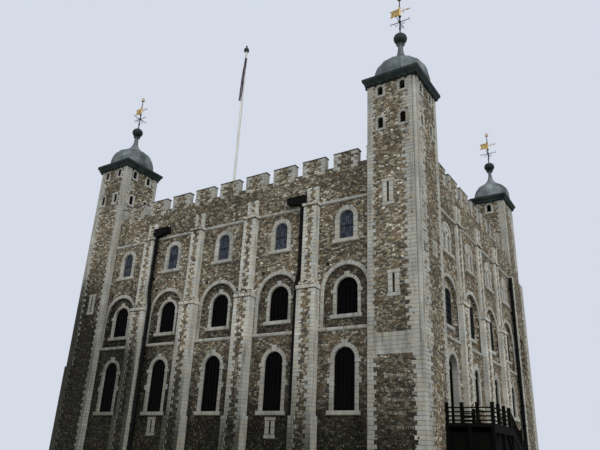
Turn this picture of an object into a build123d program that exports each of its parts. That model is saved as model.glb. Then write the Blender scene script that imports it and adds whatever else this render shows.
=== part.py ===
from build123d import *
import os

os.makedirs("parts", exist_ok=True)

# A square stone keep with four corner turrets, a scale model of 1 to 2.
# Every size below is the model's own in millimetres, half of the real keep's.
face_gap = 0.3

# Plan of the walls: +Z up, the five-bay front faces -Y and the entrance side faces +X
keep_width = 17570.0
keep_depth = 14450.0
front_end_margin = 1020.0
side_end_margin = 1125.0

# Storeys: each floor is carried up by the height of the storey below it
floor_thickness = 225.0
basement_floor_top = 225.0
basement_height = 2625.0
entrance_height = 2950.0
upper_height = 2800.0
gallery_height = 3100.0

# Turrets stand over the corners; the back pair steps in above the eaves
turret_width = 2000.0
turret_depth = 2150.0
turret_proud_x = 215.0
turret_proud_y = 250.0
back_set_back_outer = 100.0
back_set_back_inner = 250.0
back_set_back_y = 175.0
turret_rise = 3790.0
chamber_floor_rise = 400.0
chamber_wall = 400.0
nook_size = 160.0
nook_base = 5200.0
nook_shaft_radius = 75.0

# Small openings of the turrets: two rows of round-headed holes, or one window at the back,
# each with its sill and crown measured down from the turret's top
hole_width = 230.0
hole_spacing = 925.0
hole_rows = [(2015.0, 1515.0), (515.0, 90.0)]
back_hole_width = 250.0
back_hole_sill_drop = 590.0
back_hole_crown_drop = 140.0
slit_width = 85.0
slit_cut_depth = 350.0
slit_frame_width = 420.0
slit_frame_margin = 135.0

# Cornices, domes and finials of the turrets
cornice_height = 355.0
cornice_step_height = 150.0
cornice_step_overhang = 100.0
cornice_overhang = 190.0
dome_inset = 85.0
dome_height = 2150.0
back_dome_height = 1975.0
dome_neck_radius = 105.0
collar_radius = 160.0
collar_height = 70.0
ball_radius = 275.0
mast_radius = 32.5
mast_height = 1875.0
arm_height = 665.0
arm_length = 475.0
arm_radius = 17.5
crown_radius = 120.0
crown_bar = 30.0

# Weather vanes: a pennant and a pointer on a sleeve that turns on the mast
sleeve_radius = 55.0
sleeve_height = 475.0
sleeve_base = 975.0
stop_collar_radius = 65.0
stop_collar_height = 50.0
pennant_length = 450.0
pennant_height = 400.0
pennant_thickness = 15.0
pointer_length = 475.0
pointer_radius = 15.0
pointer_tip_radius = 50.0
pointer_tip_length = 150.0

# Windows of the walls: a sill rises from its floor, and a crown drops from the string course or arch above
glass_depth = 70.0
side_glass_depth = 50.0
glass_thickness = 30.0
surround_proud = 25.0
sill_proud = 100.0
impost_proud = 50.0
low_window_width = 850.0
low_window_rise = 275.0
low_window_drop = 575.0
low_band = 170.0
middle_window_width = 900.0
middle_window_rise = 640.0
middle_window_drop = 440.0
middle_band = 150.0
top_window_width = 620.0
top_window_rise = 690.0
top_window_drop = 380.0
top_band = 180.0
sill_height = 140.0
sill_overhang = 70.0
impost_height = 140.0
impost_overhang = 75.0
keystone_width = 210.0
keystone_rise = 90.0
side_window_width = 600.0
side_low_rise = 950.0
side_low_drop = 650.0
door_width = 975.0
door_drop = 500.0
light_width = 250.0
light_spacing = 450.0
light_drop = 800.0
light_panel_width = 1050.0
light_panel_drop = 300.0
slit_height = 475.0
slit_drop = 320.0
putlog_size = 150.0
putlog_drop = 275.0
putlog_shift = 775.0
putlog_depth = 250.0

# Blind arches, string courses, pilasters and parapet
arch_radius = 890.0
arch_ring = 150.0
arch_recess = 125.0
arch_drop = 325.0
turret_arch_radius = 475.0
turret_arch_shift = 400.0
string_rise = 50.0
string_height = 130.0
string_proud = 60.0
eaves_drop = 850.0
front_pilaster_depth = 325.0
side_pilaster_depth = 180.0
pilaster_width = 790.0
plinth_height = 2950.0
plinth_extra = 70.0
setoff_rise = 1650.0
setoff_height = 300.0
setoff_overhang = 40.0
pilaster_upper_width = 580.0
pilaster_step_in = 90.0
cap_width = 500.0
cap_depth = 100.0
parapet_thickness = 400.0
parapet_height = 690.0
merlon_height = 595.0
merlon_pitch = 1475.0
merlon_width = 1065.0
merlon_thickness = 250.0
merlon_least = 150.0

# Rainwater troughs and pipes
pipe_radius = 80.0
pipe_standoff = 150.0
pipe_bend_height = 500.0
trough_rise = 20.0
trough_length = 875.0
trough_height = 380.0
trough_board = 250.0
trough_depth = 250.0
trough_wall = 40.0
funnel_width = 300.0
bracket_height = 60.0
upper_bracket_drop = 600.0
upper_bracket_spacing = 1250.0
lower_bracket_drop = 250.0
lower_bracket_spacing = 1450.0

# Timber stair to the entrance, in front of the first bay of the right side
landing_before_door = 1700.0
landing_past_door = 600.0
landing_width = 1575.0
flight_width = 1275.0
deck_thickness = 100.0
beam_height = 150.0
tread_count = 32
tread_going = 150.0
tread_thickness = 30.0
tread_gap = 20.0
post_size = 100.0
post_height = 650.0
post_spacing = 500.0
side_post_spacing = 665.0
rail_height = 45.0
rail_thickness = 35.0
rail_spacing = 130.0
rail_count = 4
rail_drop = 185.0
board_thickness = 30.0
stringer_height = 250.0
stringer_thickness = 60.0
flight_post_spacing = 1100.0
flight_post_count = 4

# Flagpole behind the middle of the front parapet, and its limp flag
pole_x = -310.0
pole_wall_gap = 200.0
pole_foot_size = 300.0
pole_foot_height = 150.0
pole_radius = 65.0
pole_top_radius = 45.0
pole_rise = 9100.0
truck_radius = 130.0
truck_height = 200.0
truck_ball_radius = 45.0
truck_ball_rise = 305.0
truck_stem_radius = 18.0
flag_top_drop = 450.0
flag_drop = 2600.0
flag_width = 160.0
flag_thickness = 100.0
flag_steps = 4
flag_foot_turn = -109.0
flag_top_turn = -41.0

# Places across the plan
half_width = keep_width / 2
half_depth = keep_depth / 2
turret_x = half_width + turret_proud_x - turret_width / 2
turret_y = half_depth + turret_proud_y - turret_depth / 2
back_turret_width = turret_width - back_set_back_outer - back_set_back_inner
back_turret_depth = turret_depth - 2 * back_set_back_y
back_turret_shift = (back_set_back_inner - back_set_back_outer) / 2
inner_half_width = turret_x - turret_width / 2
inner_half_depth = turret_y - turret_depth / 2
front_bay_spacing = (inner_half_width - front_end_margin) / 2
side_bay_spacing = (inner_half_depth - side_end_margin) / 1.5
front_bays = [front_bay_spacing * step for step in (-2, -1, 0, 1, 2)]
side_bays = [side_bay_spacing * step for step in (-1.5, -0.5, 0.5, 1.5)]
light_offsets = [-light_spacing / 2, light_spacing / 2]

# Levels, from the ground up
entrance_floor_top = basement_floor_top + basement_height
upper_floor_top = entrance_floor_top + entrance_height
gallery_floor_top = upper_floor_top + upper_height
wall_top = gallery_floor_top + gallery_height
string_base = upper_floor_top + string_rise
string_top = string_base + string_height
arch_crown = gallery_floor_top - arch_drop
arch_spring = arch_crown - arch_radius
eaves_string_base = wall_top - eaves_drop
eaves_string_top = eaves_string_base + string_height
setoff_base = upper_floor_top + setoff_rise
setoff_top = setoff_base + setoff_height
wrap_width = pilaster_upper_width + 2 * string_proud
crenel_base = wall_top + parapet_height
merlon_top = crenel_base + merlon_height
turret_top = wall_top + turret_rise
cornice_top = turret_top + cornice_height
chamber_floor = wall_top + chamber_floor_rise
low_window_sill = entrance_floor_top + low_window_rise
low_window_crown = string_base - low_window_drop
middle_window_sill = upper_floor_top + middle_window_rise
middle_window_crown = arch_crown - middle_window_drop
top_window_sill = gallery_floor_top + top_window_rise
top_window_crown = eaves_string_base - top_window_drop
side_low_sill = entrance_floor_top + side_low_rise
side_low_crown = string_base - side_low_drop
door_crown = string_base - door_drop
light_crown = eaves_string_base - light_drop
light_panel_crown = eaves_string_base - light_panel_drop
slit_base = low_window_sill - slit_drop - slit_height
putlog_base = gallery_floor_top - putlog_drop


def between(bays):
    return [(first + second) / 2 for first, second in zip(bays, bays[1:])]


def wall_plane(distance, along, outward):
    return Plane(origin=tuple(distance * value for value in outward), x_dir=along, z_dir=outward)


def block_outline(width, base, top, middle=0.0):
    with BuildSketch() as shape:
        with Locations((middle, (base + top) / 2)):
            Rectangle(width, top - base)
    return shape.sketch


def arched_outline(width, base, crown, middle=0.0):
    radius = width / 2
    spring = crown - radius
    left = middle - radius
    right = middle + radius
    with BuildSketch() as shape:
        with BuildLine():
            Polyline((left, spring), (left, base), (right, base), (right, spring))
            ThreePointArc((right, spring), (middle, crown), (left, spring))
        make_face()
    return shape.sketch


# A window is its clear width, sill, crown, and the band of dressed stone around it
low_window = (low_window_width, low_window_sill, low_window_crown, low_band)
middle_window = (middle_window_width, middle_window_sill, middle_window_crown, middle_band)
top_window = (top_window_width, top_window_sill, top_window_crown, top_band)
side_low_window = (side_window_width, side_low_sill, side_low_crown, middle_band)
side_middle_window = (side_window_width, middle_window_sill, middle_window_crown, middle_band)
door = (door_width, entrance_floor_top, door_crown, low_band)
light = (light_width, top_window_sill, light_crown, 0.0)

# Each wall is drawn from outside, with its ground line at zero
front_windows = {
    "low": [(low_window, bay) for bay in front_bays],
    "middle": [(middle_window, bay) for bay in front_bays],
    "top": [(top_window, bay) for bay in front_bays],
    "lights": [],
    "door": [],
    "slits": [front_bays[1], front_bays[-2]],
}
right_windows = {
    "low": [(side_low_window, bay) for bay in side_bays[1:]],
    "middle": [(side_middle_window, bay) for bay in side_bays],
    "top": [],
    "lights": [(light, bay + shift) for bay in side_bays for shift in light_offsets],
    "door": [(door, side_bays[0])],
    "slits": [],
}
left_windows = dict(right_windows, low=[(side_low_window, bay) for bay in side_bays], door=[])
front_length = 2 * inner_half_width
side_length = 2 * inner_half_depth
front_thickness = half_depth - inner_half_depth
side_thickness = half_width - inner_half_width
back_reach_x = turret_x + back_turret_shift - back_turret_width / 2
back_reach_y = turret_y - back_turret_depth / 2
sides = {
    "front": (
        wall_plane(half_depth, (1, 0, 0), (0, -1, 0)),
        front_length,
        front_thickness,
        front_bays,
        front_windows,
        front_pilaster_depth,
        (-inner_half_width, inner_half_width),
    ),
    "right": (
        wall_plane(half_width, (0, 1, 0), (1, 0, 0)),
        side_length,
        side_thickness,
        side_bays,
        right_windows,
        side_pilaster_depth,
        (-inner_half_depth, back_reach_y),
    ),
    "back": (
        wall_plane(half_depth, (-1, 0, 0), (0, 1, 0)),
        front_length,
        front_thickness,
        front_bays,
        front_windows,
        front_pilaster_depth,
        (-back_reach_x, back_reach_x),
    ),
    "left": (
        wall_plane(half_width, (0, -1, 0), (-1, 0, 0)),
        side_length,
        side_thickness,
        side_bays,
        left_windows,
        side_pilaster_depth,
        (-back_reach_y, inner_half_depth),
    ),
}


def openings_of(windows):
    rows = windows["low"] + windows["middle"] + windows["top"] + windows["lights"] + windows["door"]
    return rows


# Floors at each row of windows, and the flat roof between the wall tops
floor_tops = {
    "basement_floor": basement_floor_top,
    "entrance_floor": entrance_floor_top,
    "upper_floor": upper_floor_top,
    "gallery_floor": gallery_floor_top,
    "roof_deck": wall_top,
}
for floor_name, floor_top in floor_tops.items():
    with BuildPart() as floor:
        with BuildSketch(Plane.XY.offset(floor_top - floor_thickness)):
            Rectangle(front_length, side_length)
        extrude(amount=floor_thickness)
    floor.part.label = floor_name
    export_step(floor.part, f"parts/{floor_name}.step")

for side, (plane, length, thickness, bays, windows, pilaster_depth, reach) in sides.items():
    # Wall: a slab with blind arches sunk in its face and every opening cut through
    with BuildPart() as wall:
        with BuildSketch(plane):
            add(block_outline(length, 0, wall_top))
        extrude(amount=-thickness)
        with BuildSketch(plane):
            for bay in bays:
                add(arched_outline(2 * arch_radius, string_top, arch_crown, bay))
        extrude(amount=-arch_recess, mode=Mode.SUBTRACT)
        with BuildSketch(plane):
            for (width, base, crown, band), bay in openings_of(windows):
                add(arched_outline(width, base, crown, bay))
            for bay in windows["slits"]:
                add(block_outline(slit_width, slit_base, slit_base + slit_height, bay))
        extrude(amount=-thickness, mode=Mode.SUBTRACT)
        if windows["slits"]:
            with BuildSketch(plane):
                for bay in bays:
                    putlog_top = putlog_base + putlog_size
                    add(block_outline(putlog_size, putlog_base, putlog_top, bay - putlog_shift))
            extrude(amount=-putlog_depth, mode=Mode.SUBTRACT)
    wall.part.label = f"{side}_wall"
    export_step(wall.part, f"parts/{side}_wall.step")

    # Parapet with merlons, on the outer edge of the wall top
    with BuildPart() as parapet:
        run_middle = (reach[0] + reach[1]) / 2
        run_length = reach[1] - reach[0]
        merlon_steps = round(run_length / 2 / merlon_pitch)
        with BuildSketch(plane):
            add(block_outline(run_length, wall_top, crenel_base, run_middle))
        extrude(amount=-parapet_thickness)
        with BuildSketch(plane):
            for step in range(-merlon_steps, merlon_steps + 1):
                merlon_start = max(reach[0], merlon_pitch * step - merlon_width / 2)
                merlon_end = min(reach[1], merlon_pitch * step + merlon_width / 2)
                if merlon_end - merlon_start > merlon_least:
                    merlon_middle = (merlon_start + merlon_end) / 2
                    add(block_outline(merlon_end - merlon_start, wall_top, merlon_top, merlon_middle))
        extrude(amount=-merlon_thickness)
    parapet.part.label = f"{side}_parapet"
    export_step(parapet.part, f"parts/{side}_parapet.step")

    # Pilasters between the bays: plinth, shaft, moulded set-off, narrower upper shaft and cap
    upper_depth = pilaster_depth - pilaster_step_in
    setoff_middle = (setoff_base + setoff_top) / 2
    setoff_width = pilaster_width + 2 * setoff_overhang
    stages = [
        (pilaster_width + 2 * plinth_extra, 0, plinth_height, pilaster_depth + plinth_extra),
        (pilaster_width, plinth_height, setoff_base, pilaster_depth),
        (setoff_width, setoff_base, setoff_middle, pilaster_depth + setoff_overhang),
        (pilaster_width - setoff_overhang, setoff_middle, setoff_top, upper_depth + setoff_overhang),
        (pilaster_upper_width, setoff_top, eaves_string_base, upper_depth),
        (wrap_width, eaves_string_base, eaves_string_top, upper_depth + string_proud),
        (cap_width, eaves_string_top, wall_top, cap_depth),
    ]
    with BuildPart() as pilasters:
        for width, base, top, depth in stages:
            with BuildSketch(plane):
                for place in between(bays):
                    add(block_outline(width, base, top, place))
            extrude(amount=depth)
    pilasters.part.label = f"{side}_pilasters"
    export_step(pilasters.part, f"parts/{side}_pilasters.step")

    # Rings and jambs of the blind arches, with the string courses under them and the parapet
    with BuildPart() as arches:
        with BuildSketch(plane):
            for bay in bays:
                add(arched_outline(2 * (arch_radius + arch_ring), string_top, arch_crown + arch_ring, bay))
            for bay in bays:
                add(
                    arched_outline(2 * arch_radius, string_top, arch_crown, bay),
                    mode=Mode.SUBTRACT,
                )
            add(block_outline(length, 0, wall_top), mode=Mode.INTERSECT)
            for place in between(bays):
                for width, base, top, depth in stages:
                    add(block_outline(width, base, top, place), mode=Mode.SUBTRACT)
        extrude(amount=surround_proud)
        with BuildSketch(plane):
            add(block_outline(length, string_base, string_top))
            add(block_outline(length, eaves_string_base, eaves_string_top))
            for place in between(bays):
                for width, base, top, depth in stages:
                    add(block_outline(width, base, top, place), mode=Mode.SUBTRACT)
        extrude(amount=string_proud)
    arches.part.label = f"{side}_arches_and_strings"
    export_step(arches.part, f"parts/{side}_arches_and_strings.step")

    # Dressed stone around the windows: band, sill, imposts and keystone
    rows = [
        (windows["low"] + windows["door"], 0.0, True),
        (windows["middle"], arch_recess, True),
        (windows["top"] or windows["lights"], 0.0, False),
    ]
    with BuildPart() as surrounds:
        for row, seat, has_imposts in rows:
            is_panel = row is windows["lights"]
            with BuildSketch(plane.offset(-seat)):
                if is_panel:
                    for bay in bays:
                        add(arched_outline(light_panel_width, top_window_sill, light_panel_crown, bay))
                for (width, base, crown, band), bay in row:
                    if not is_panel:
                        add(arched_outline(width + 2 * band, base, crown + band, bay))
                for (width, base, crown, band), bay in row:
                    add(arched_outline(width, base, crown, bay), mode=Mode.SUBTRACT)
            extrude(amount=seat + surround_proud)
            with BuildSketch(plane.offset(-seat)):
                if is_panel:
                    for bay in bays:
                        sill_width = light_panel_width + 2 * sill_overhang
                        add(block_outline(sill_width, top_window_sill - sill_height, top_window_sill, bay))
                for (width, base, crown, band), bay in row:
                    sill_width = width + 2 * band + 2 * sill_overhang
                    if not is_panel and base != entrance_floor_top:
                        add(block_outline(sill_width, base - sill_height, base, bay))
            extrude(amount=seat + sill_proud)
            if has_imposts:
                with BuildSketch(plane.offset(-seat)):
                    for (width, base, crown, band), bay in row:
                        spring = crown - width / 2
                        impost_width = width + 2 * band + 2 * impost_overhang
                        add(block_outline(impost_width, spring - impost_height, spring, bay))
                        add(block_outline(keystone_width, crown, crown + band + keystone_rise, bay))
                    for (width, base, crown, band), bay in row:
                        add(arched_outline(width, base, crown, bay), mode=Mode.SUBTRACT)
                extrude(amount=seat + impost_proud)
        if windows["slits"]:
            with BuildSketch(plane):
                frame_base = slit_base - slit_frame_margin
                frame_top = slit_base + slit_height + slit_frame_margin
                for bay in windows["slits"]:
                    add(block_outline(slit_frame_width, frame_base, frame_top, bay))
                    add(
                        block_outline(slit_width, slit_base, slit_base + slit_height, bay),
                        mode=Mode.SUBTRACT,
                    )
            extrude(amount=surround_proud)
    surrounds.part.label = f"{side}_window_surrounds"
    export_step(surrounds.part, f"parts/{side}_window_surrounds.step")

# Leaded glass, set back in each window
with BuildPart() as glass:
    for plane, length, thickness, bays, windows, pilaster_depth, reach in sides.values():
        row_depth = side_glass_depth if windows["lights"] else glass_depth
        for row, seat in (
            (windows["low"] + windows["top"] + windows["lights"], row_depth),
            (windows["middle"], row_depth if windows["lights"] else arch_recess + row_depth),
        ):
            with BuildSketch(plane.offset(-seat)):
                for (width, base, crown, band), bay in row:
                    add(arched_outline(width - 2 * face_gap, base + face_gap, crown - face_gap, bay))
            extrude(amount=-glass_thickness)
glass.part.label = "window_glass"
export_step(glass.part, "parts/window_glass.step")


def turret_body(side_x, side_y):
    """Size and centre of a turret above the roof, for the corner on side_x and side_y."""
    if side_y < 0:
        return turret_width, turret_depth, side_x * turret_x, side_y * turret_y
    return (
        back_turret_width,
        back_turret_depth,
        side_x * (turret_x + back_turret_shift),
        side_y * turret_y,
    )


corners = {"near": (1, -1), "left": (-1, -1), "right": (1, 1), "back": (-1, 1)}
slit_places = {
    "near": [
        ("front", -185.0, 10335.0, 805.0),
        ("front", -20.0, 6935.0, 680.0),
        ("side", 250.0, 8585.0, 330.0),
    ],
    "left": [("front", 125.0, 7735.0, 730.0)],
    "right": [],
    "back": [],
}


def slit_plane(face, side_x, side_y):
    """Outer face of a turret's shaft, with its origin on the turret's centre line."""
    if face == "front":
        middle = (side_x * turret_x, side_y * (turret_y + turret_depth / 2), 0)
        return Plane(origin=middle, x_dir=(1, 0, 0), z_dir=(0, -1, 0))
    middle = (side_x * (turret_x + turret_width / 2), side_y * turret_y, 0)
    return Plane(origin=middle, x_dir=(0, 1, 0), z_dir=(1, 0, 0))


for corner, (side_x, side_y) in corners.items():
    body_width, body_depth, body_x, body_y = turret_body(side_x, side_y)
    at_front = side_y < 0
    shaft_top = turret_top if at_front else eaves_string_top
    # Turret: a shaft from the ground, solid to the roof, with a hollow chamber above it
    with BuildPart() as turret:
        with BuildSketch():
            with Locations((side_x * turret_x, side_y * turret_y)):
                Rectangle(turret_width, turret_depth)
        extrude(amount=shaft_top)
        if not at_front:
            inner_x = side_x * inner_half_width
            inner_y = side_y * inner_half_depth
            outer_x = body_x + side_x * body_width / 2
            outer_y = body_y + side_y * body_depth / 2
            with BuildSketch(Plane.XY.offset(eaves_string_top)):
                with Locations(((inner_x + outer_x) / 2, (inner_y + outer_y) / 2)):
                    Rectangle(abs(outer_x - inner_x), abs(outer_y - inner_y))
            extrude(amount=wall_top - eaves_string_top)
            with BuildSketch(Plane.XY.offset(wall_top)):
                with Locations((body_x, body_y)):
                    Rectangle(body_width, body_depth)
            extrude(amount=turret_top - wall_top)
            arch_plane = Plane(
                origin=(side_x * (turret_x + turret_width / 2), side_y * turret_y, 0),
                x_dir=(0, side_x, 0),
                z_dir=(side_x, 0, 0),
            )
            with BuildSketch(arch_plane):
                arch_middle = -side_x * turret_arch_shift
                arch_top = arch_spring + turret_arch_radius
                add(arched_outline(2 * turret_arch_radius, string_top, arch_top, arch_middle))
            extrude(amount=-arch_recess, mode=Mode.SUBTRACT)
        with BuildSketch(Plane.XY.offset(chamber_floor)):
            with Locations((body_x, body_y)):
                Rectangle(body_width - 2 * chamber_wall, body_depth - 2 * chamber_wall)
        extrude(amount=turret_top - chamber_floor, mode=Mode.SUBTRACT)
        for along, outward, reach in (
            ((1, 0, 0), (0, -1, 0), body_depth / 2),
            ((0, 1, 0), (1, 0, 0), body_width / 2),
        ):
            hole_plane = Plane(origin=(body_x, body_y, 0), x_dir=along, z_dir=outward)
            with BuildSketch(hole_plane):
                if at_front:
                    for sill_drop, crown_drop in hole_rows:
                        hole_sill = turret_top - sill_drop
                        hole_crown = turret_top - crown_drop
                        for place in (-hole_spacing / 2, hole_spacing / 2):
                            add(arched_outline(hole_width, hole_sill, hole_crown, place))
                else:
                    hole_sill = turret_top - back_hole_sill_drop
                    hole_crown = turret_top - back_hole_crown_drop
                    add(arched_outline(back_hole_width, hole_sill, hole_crown))
            extrude(amount=reach, both=True, mode=Mode.SUBTRACT)
        for face, place, base, height in slit_places[corner]:
            with BuildSketch(slit_plane(face, side_x, side_y)):
                add(block_outline(slit_width, base, base + height, place))
            extrude(amount=-slit_cut_depth, mode=Mode.SUBTRACT)
        if at_front:
            edge_x = side_x * (turret_x + turret_width / 2)
            edge_y = side_y * (turret_y + turret_depth / 2)
            with BuildSketch(Plane.XY.offset(nook_base)):
                with Locations((edge_x, edge_y)):
                    Rectangle(2 * nook_size, 2 * nook_size)
            extrude(amount=turret_top - nook_base, mode=Mode.SUBTRACT)
            shaft_shift = nook_size - nook_shaft_radius * 0.9
            with BuildSketch(Plane.XY.offset(nook_base)):
                with Locations((edge_x - side_x * shaft_shift, edge_y - side_y * shaft_shift)):
                    Circle(nook_shaft_radius)
            extrude(amount=turret_top - nook_base)
    turret.part.label = f"{corner}_turret"
    export_step(turret.part, f"parts/{corner}_turret.step")

# Frames of dressed stone around the turret slits
with BuildPart() as slit_frames:
    for corner, (side_x, side_y) in corners.items():
        for face, place, base, height in slit_places[corner]:
            with BuildSketch(slit_plane(face, side_x, side_y)):
                frame_top = base + height + slit_frame_margin
                add(block_outline(slit_frame_width, base - slit_frame_margin, frame_top, place))
                add(block_outline(slit_width, base, base + height, place), mode=Mode.SUBTRACT)
            extrude(amount=surround_proud)
slit_frames.part.label = "turret_slit_frames"
export_step(slit_frames.part, "parts/turret_slit_frames.step")

# Boxed timber cornices, which close the turret chambers
with BuildPart() as cornices:
    for side_x, side_y in corners.values():
        body_width, body_depth, body_x, body_y = turret_body(side_x, side_y)
        for base, height, overhang in (
            (turret_top, cornice_step_height, cornice_step_overhang),
            (turret_top + cornice_step_height, cornice_height - cornice_step_height, cornice_overhang),
        ):
            with BuildSketch(Plane.XY.offset(base)):
                with Locations((body_x, body_y)):
                    Rectangle(body_width + 2 * overhang, body_depth + 2 * overhang)
            extrude(amount=height)
cornices.part.label = "turret_cornices"
export_step(cornices.part, "parts/turret_cornices.step")

# Lead domes: a bulging skirt that sweeps in to a slender neck
with BuildPart() as domes:
    for side_x, side_y in corners.values():
        body_width, body_depth, body_x, body_y = turret_body(side_x, side_y)
        radius = min(body_width, body_depth) / 2 + cornice_overhang - dome_inset
        height = dome_height if side_y < 0 else back_dome_height
        dome_plane = Plane(origin=(body_x, body_y, cornice_top), x_dir=(1, 0, 0), z_dir=(0, -1, 0))
        shoulder = (radius * 0.86, height * 0.39)
        with BuildSketch(dome_plane):
            with BuildLine():
                Polyline((0, height), (0, 0), (radius, 0))
                Spline(
                    (radius, 0),
                    (radius * 1.03, height * 0.12),
                    shoulder,
                    tangents=[(0, 1), (-1, 1)],
                )
                Spline(
                    shoulder,
                    (radius * 0.54, height * 0.525),
                    (radius * 0.24, height * 0.66),
                    (dome_neck_radius, height),
                    tangents=[(-1, 0.45), (0, 1)],
                )
                Line((dome_neck_radius, height), (0, height))
            make_face()
        revolve(axis=Axis((body_x, body_y, 0), (0, 0, 1)))
domes.part.label = "turret_domes"
export_step(domes.part, "parts/turret_domes.step")

# The open crown is two upright hoops, crossed
crown_faces = {(1, 0, 0): (0, -1, 0), (0, 1, 0): (1, 0, 0)}

# Finial of each dome: collar, ball, mast with cardinal arms, stop collar and open crown
with BuildPart() as finials:
    for side_x, side_y in corners.values():
        body_width, body_depth, body_x, body_y = turret_body(side_x, side_y)
        base = cornice_top + (dome_height if side_y < 0 else back_dome_height)
        ball_base = base + collar_height
        ball_middle = ball_base + 0.9 * ball_radius
        mast_base = ball_middle + 0.9 * ball_radius
        with BuildSketch(Plane.XY.offset(base)):
            with Locations((body_x, body_y)):
                Circle(collar_radius)
        extrude(amount=collar_height)
        with Locations((body_x, body_y, ball_middle)):
            Sphere(ball_radius)
        with BuildSketch(Plane.XY.offset(ball_middle)):
            with Locations((body_x, body_y)):
                Circle(mast_radius)
        extrude(amount=mast_base + mast_height - ball_middle)
        with BuildSketch(Plane.XY.offset(mast_base + sleeve_base - stop_collar_height - face_gap)):
            with Locations((body_x, body_y)):
                Circle(stop_collar_radius)
        extrude(amount=stop_collar_height)
        for turn in (0, 90):
            with Locations(Location((body_x, body_y, mast_base + arm_height), (90, 0, turn))):
                Cylinder(arm_radius, 2 * arm_length)
        crown_middle = mast_base + mast_height + crown_radius - crown_bar
        for along in ((1, 0, 0), (0, 1, 0)):
            crown_plane = Plane(
                origin=(body_x, body_y, crown_middle), x_dir=along, z_dir=crown_faces[along]
            )
            with BuildSketch(crown_plane):
                Circle(crown_radius)
                Circle(crown_radius - crown_bar, mode=Mode.SUBTRACT)
            extrude(amount=crown_bar / 2, both=True)
finials.part.label = "turret_finials"
export_step(finials.part, "parts/turret_finials.step")

# Weather vane on each mast: its pennant trails to -X at rest and its pointer to +X
for corner, (side_x, side_y) in corners.items():
    body_width, body_depth, body_x, body_y = turret_body(side_x, side_y)
    base = cornice_top + (dome_height if side_y < 0 else back_dome_height)
    mast_base = base + collar_height + 1.8 * ball_radius
    vane_base = mast_base + sleeve_base
    vane_middle = vane_base + sleeve_height / 2
    with BuildPart() as vane:
        with BuildSketch(Plane.XY.offset(vane_base)):
            with Locations((body_x, body_y)):
                Circle(sleeve_radius)
        extrude(amount=sleeve_height)
        with BuildSketch(Plane(origin=(body_x, body_y, vane_middle), x_dir=(1, 0, 0), z_dir=(0, -1, 0))):
            with Locations((-pennant_length / 2 - mast_radius, 0)):
                Rectangle(pennant_length, pennant_height)
        extrude(amount=pennant_thickness / 2, both=True)
        with Locations(Location((body_x + pointer_length / 2, body_y, vane_middle), (0, 90, 0))):
            Cylinder(pointer_radius, pointer_length)
        tip_middle = body_x + pointer_length
        with Locations(Location((tip_middle, body_y, vane_middle), (0, 90, 0))):
            Cone(pointer_tip_radius, pointer_radius / 2, pointer_tip_length)
        with BuildSketch(Plane.XY.offset(vane_base)):
            with Locations((body_x, body_y)):
                Circle(mast_radius + face_gap)
        extrude(amount=sleeve_height, mode=Mode.SUBTRACT)
    vane.part.label = f"{corner}_weather_vane"
    export_step(vane.part, f"parts/{corner}_weather_vane.step")

# Rainwater troughs on the front and back walls, with a pipe down beside each outer pilaster
upper_edge = wrap_width / 2 + pipe_radius + face_gap
lower_edge = pilaster_width / 2 + plinth_extra + pipe_radius + face_gap
setoff_bend = setoff_top + pipe_bend_height
trough_base = eaves_string_top + trough_rise
upper_brackets = [eaves_string_base - upper_bracket_drop - upper_bracket_spacing * step for step in (0, 1)]
lower_brackets = [string_base - lower_bracket_drop - lower_bracket_spacing * step for step in range(4)]
with BuildPart() as pipes:
    for side in ("front", "back"):
        plane = sides[side][0]
        places = between(sides[side][3])
        for place, turn_to in ((places[0], 1), (places[-1], -1)):
            top_place = place + turn_to * upper_edge
            low_place = place + turn_to * lower_edge
            trough_start = place + turn_to * (cap_width / 2 + face_gap)
            trough_end = trough_start + turn_to * trough_length
            trough_middle = (trough_start + trough_end) / 2
            trough_top = trough_base + trough_height
            with BuildSketch(plane.offset(face_gap)):
                with BuildLine():
                    Polyline(
                        (trough_start, trough_top),
                        (trough_start, trough_base),
                        (trough_start + turn_to * funnel_width, trough_base),
                        (trough_end, trough_top - trough_board),
                        (trough_end, trough_top),
                        close=True,
                    )
                make_face()
            extrude(amount=trough_depth)
            with BuildSketch(plane.offset(face_gap + trough_wall)):
                hollow_base = trough_top - trough_board + trough_wall
                hollow_length = trough_length - 2 * trough_wall
                add(block_outline(hollow_length, hollow_base, trough_top, trough_middle))
            extrude(amount=trough_depth - 2 * trough_wall, mode=Mode.SUBTRACT)
            points = [
                (top_place, trough_base + trough_wall),
                (top_place, setoff_bend),
                (low_place, setoff_top),
                (low_place, 0),
            ]
            middle_plane = plane.offset(pipe_standoff)
            for start, end in zip(points, points[1:]):
                start_point = middle_plane.from_local_coords((start[0], start[1], 0))
                run = middle_plane.from_local_coords((end[0], end[1], 0)) - start_point
                with BuildSketch(Plane(origin=start_point, z_dir=run)):
                    Circle(pipe_radius)
                extrude(amount=run.length)
            for place, height in [(top_place, value) for value in upper_brackets] + [
                (low_place, value) for value in lower_brackets
            ]:
                with BuildSketch(plane.offset(face_gap)):
                    with Locations((place, height)):
                        Rectangle(2 * pipe_radius, bracket_height)
                extrude(amount=pipe_standoff)
    # The right and left sides have a plain pipe against each back turret
    for side, turn_to in (("right", 1), ("left", -1)):
        plane = sides[side][0]
        place = turn_to * (inner_half_depth - pipe_radius - face_gap)
        with BuildSketch(Plane.XY):
            foot = plane.offset(pipe_standoff).from_local_coords((place, 0, 0))
            with Locations((foot.X, foot.Y)):
                Circle(pipe_radius)
        extrude(amount=eaves_string_base - face_gap)
        for height in upper_brackets + lower_brackets:
            with BuildSketch(plane.offset(face_gap)):
                with Locations((place, height)):
                    Rectangle(2 * pipe_radius, bracket_height)
            extrude(amount=pipe_standoff)
pipes.part.label = "rainwater_pipes"
export_step(pipes.part, "parts/rainwater_pipes.step")

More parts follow.
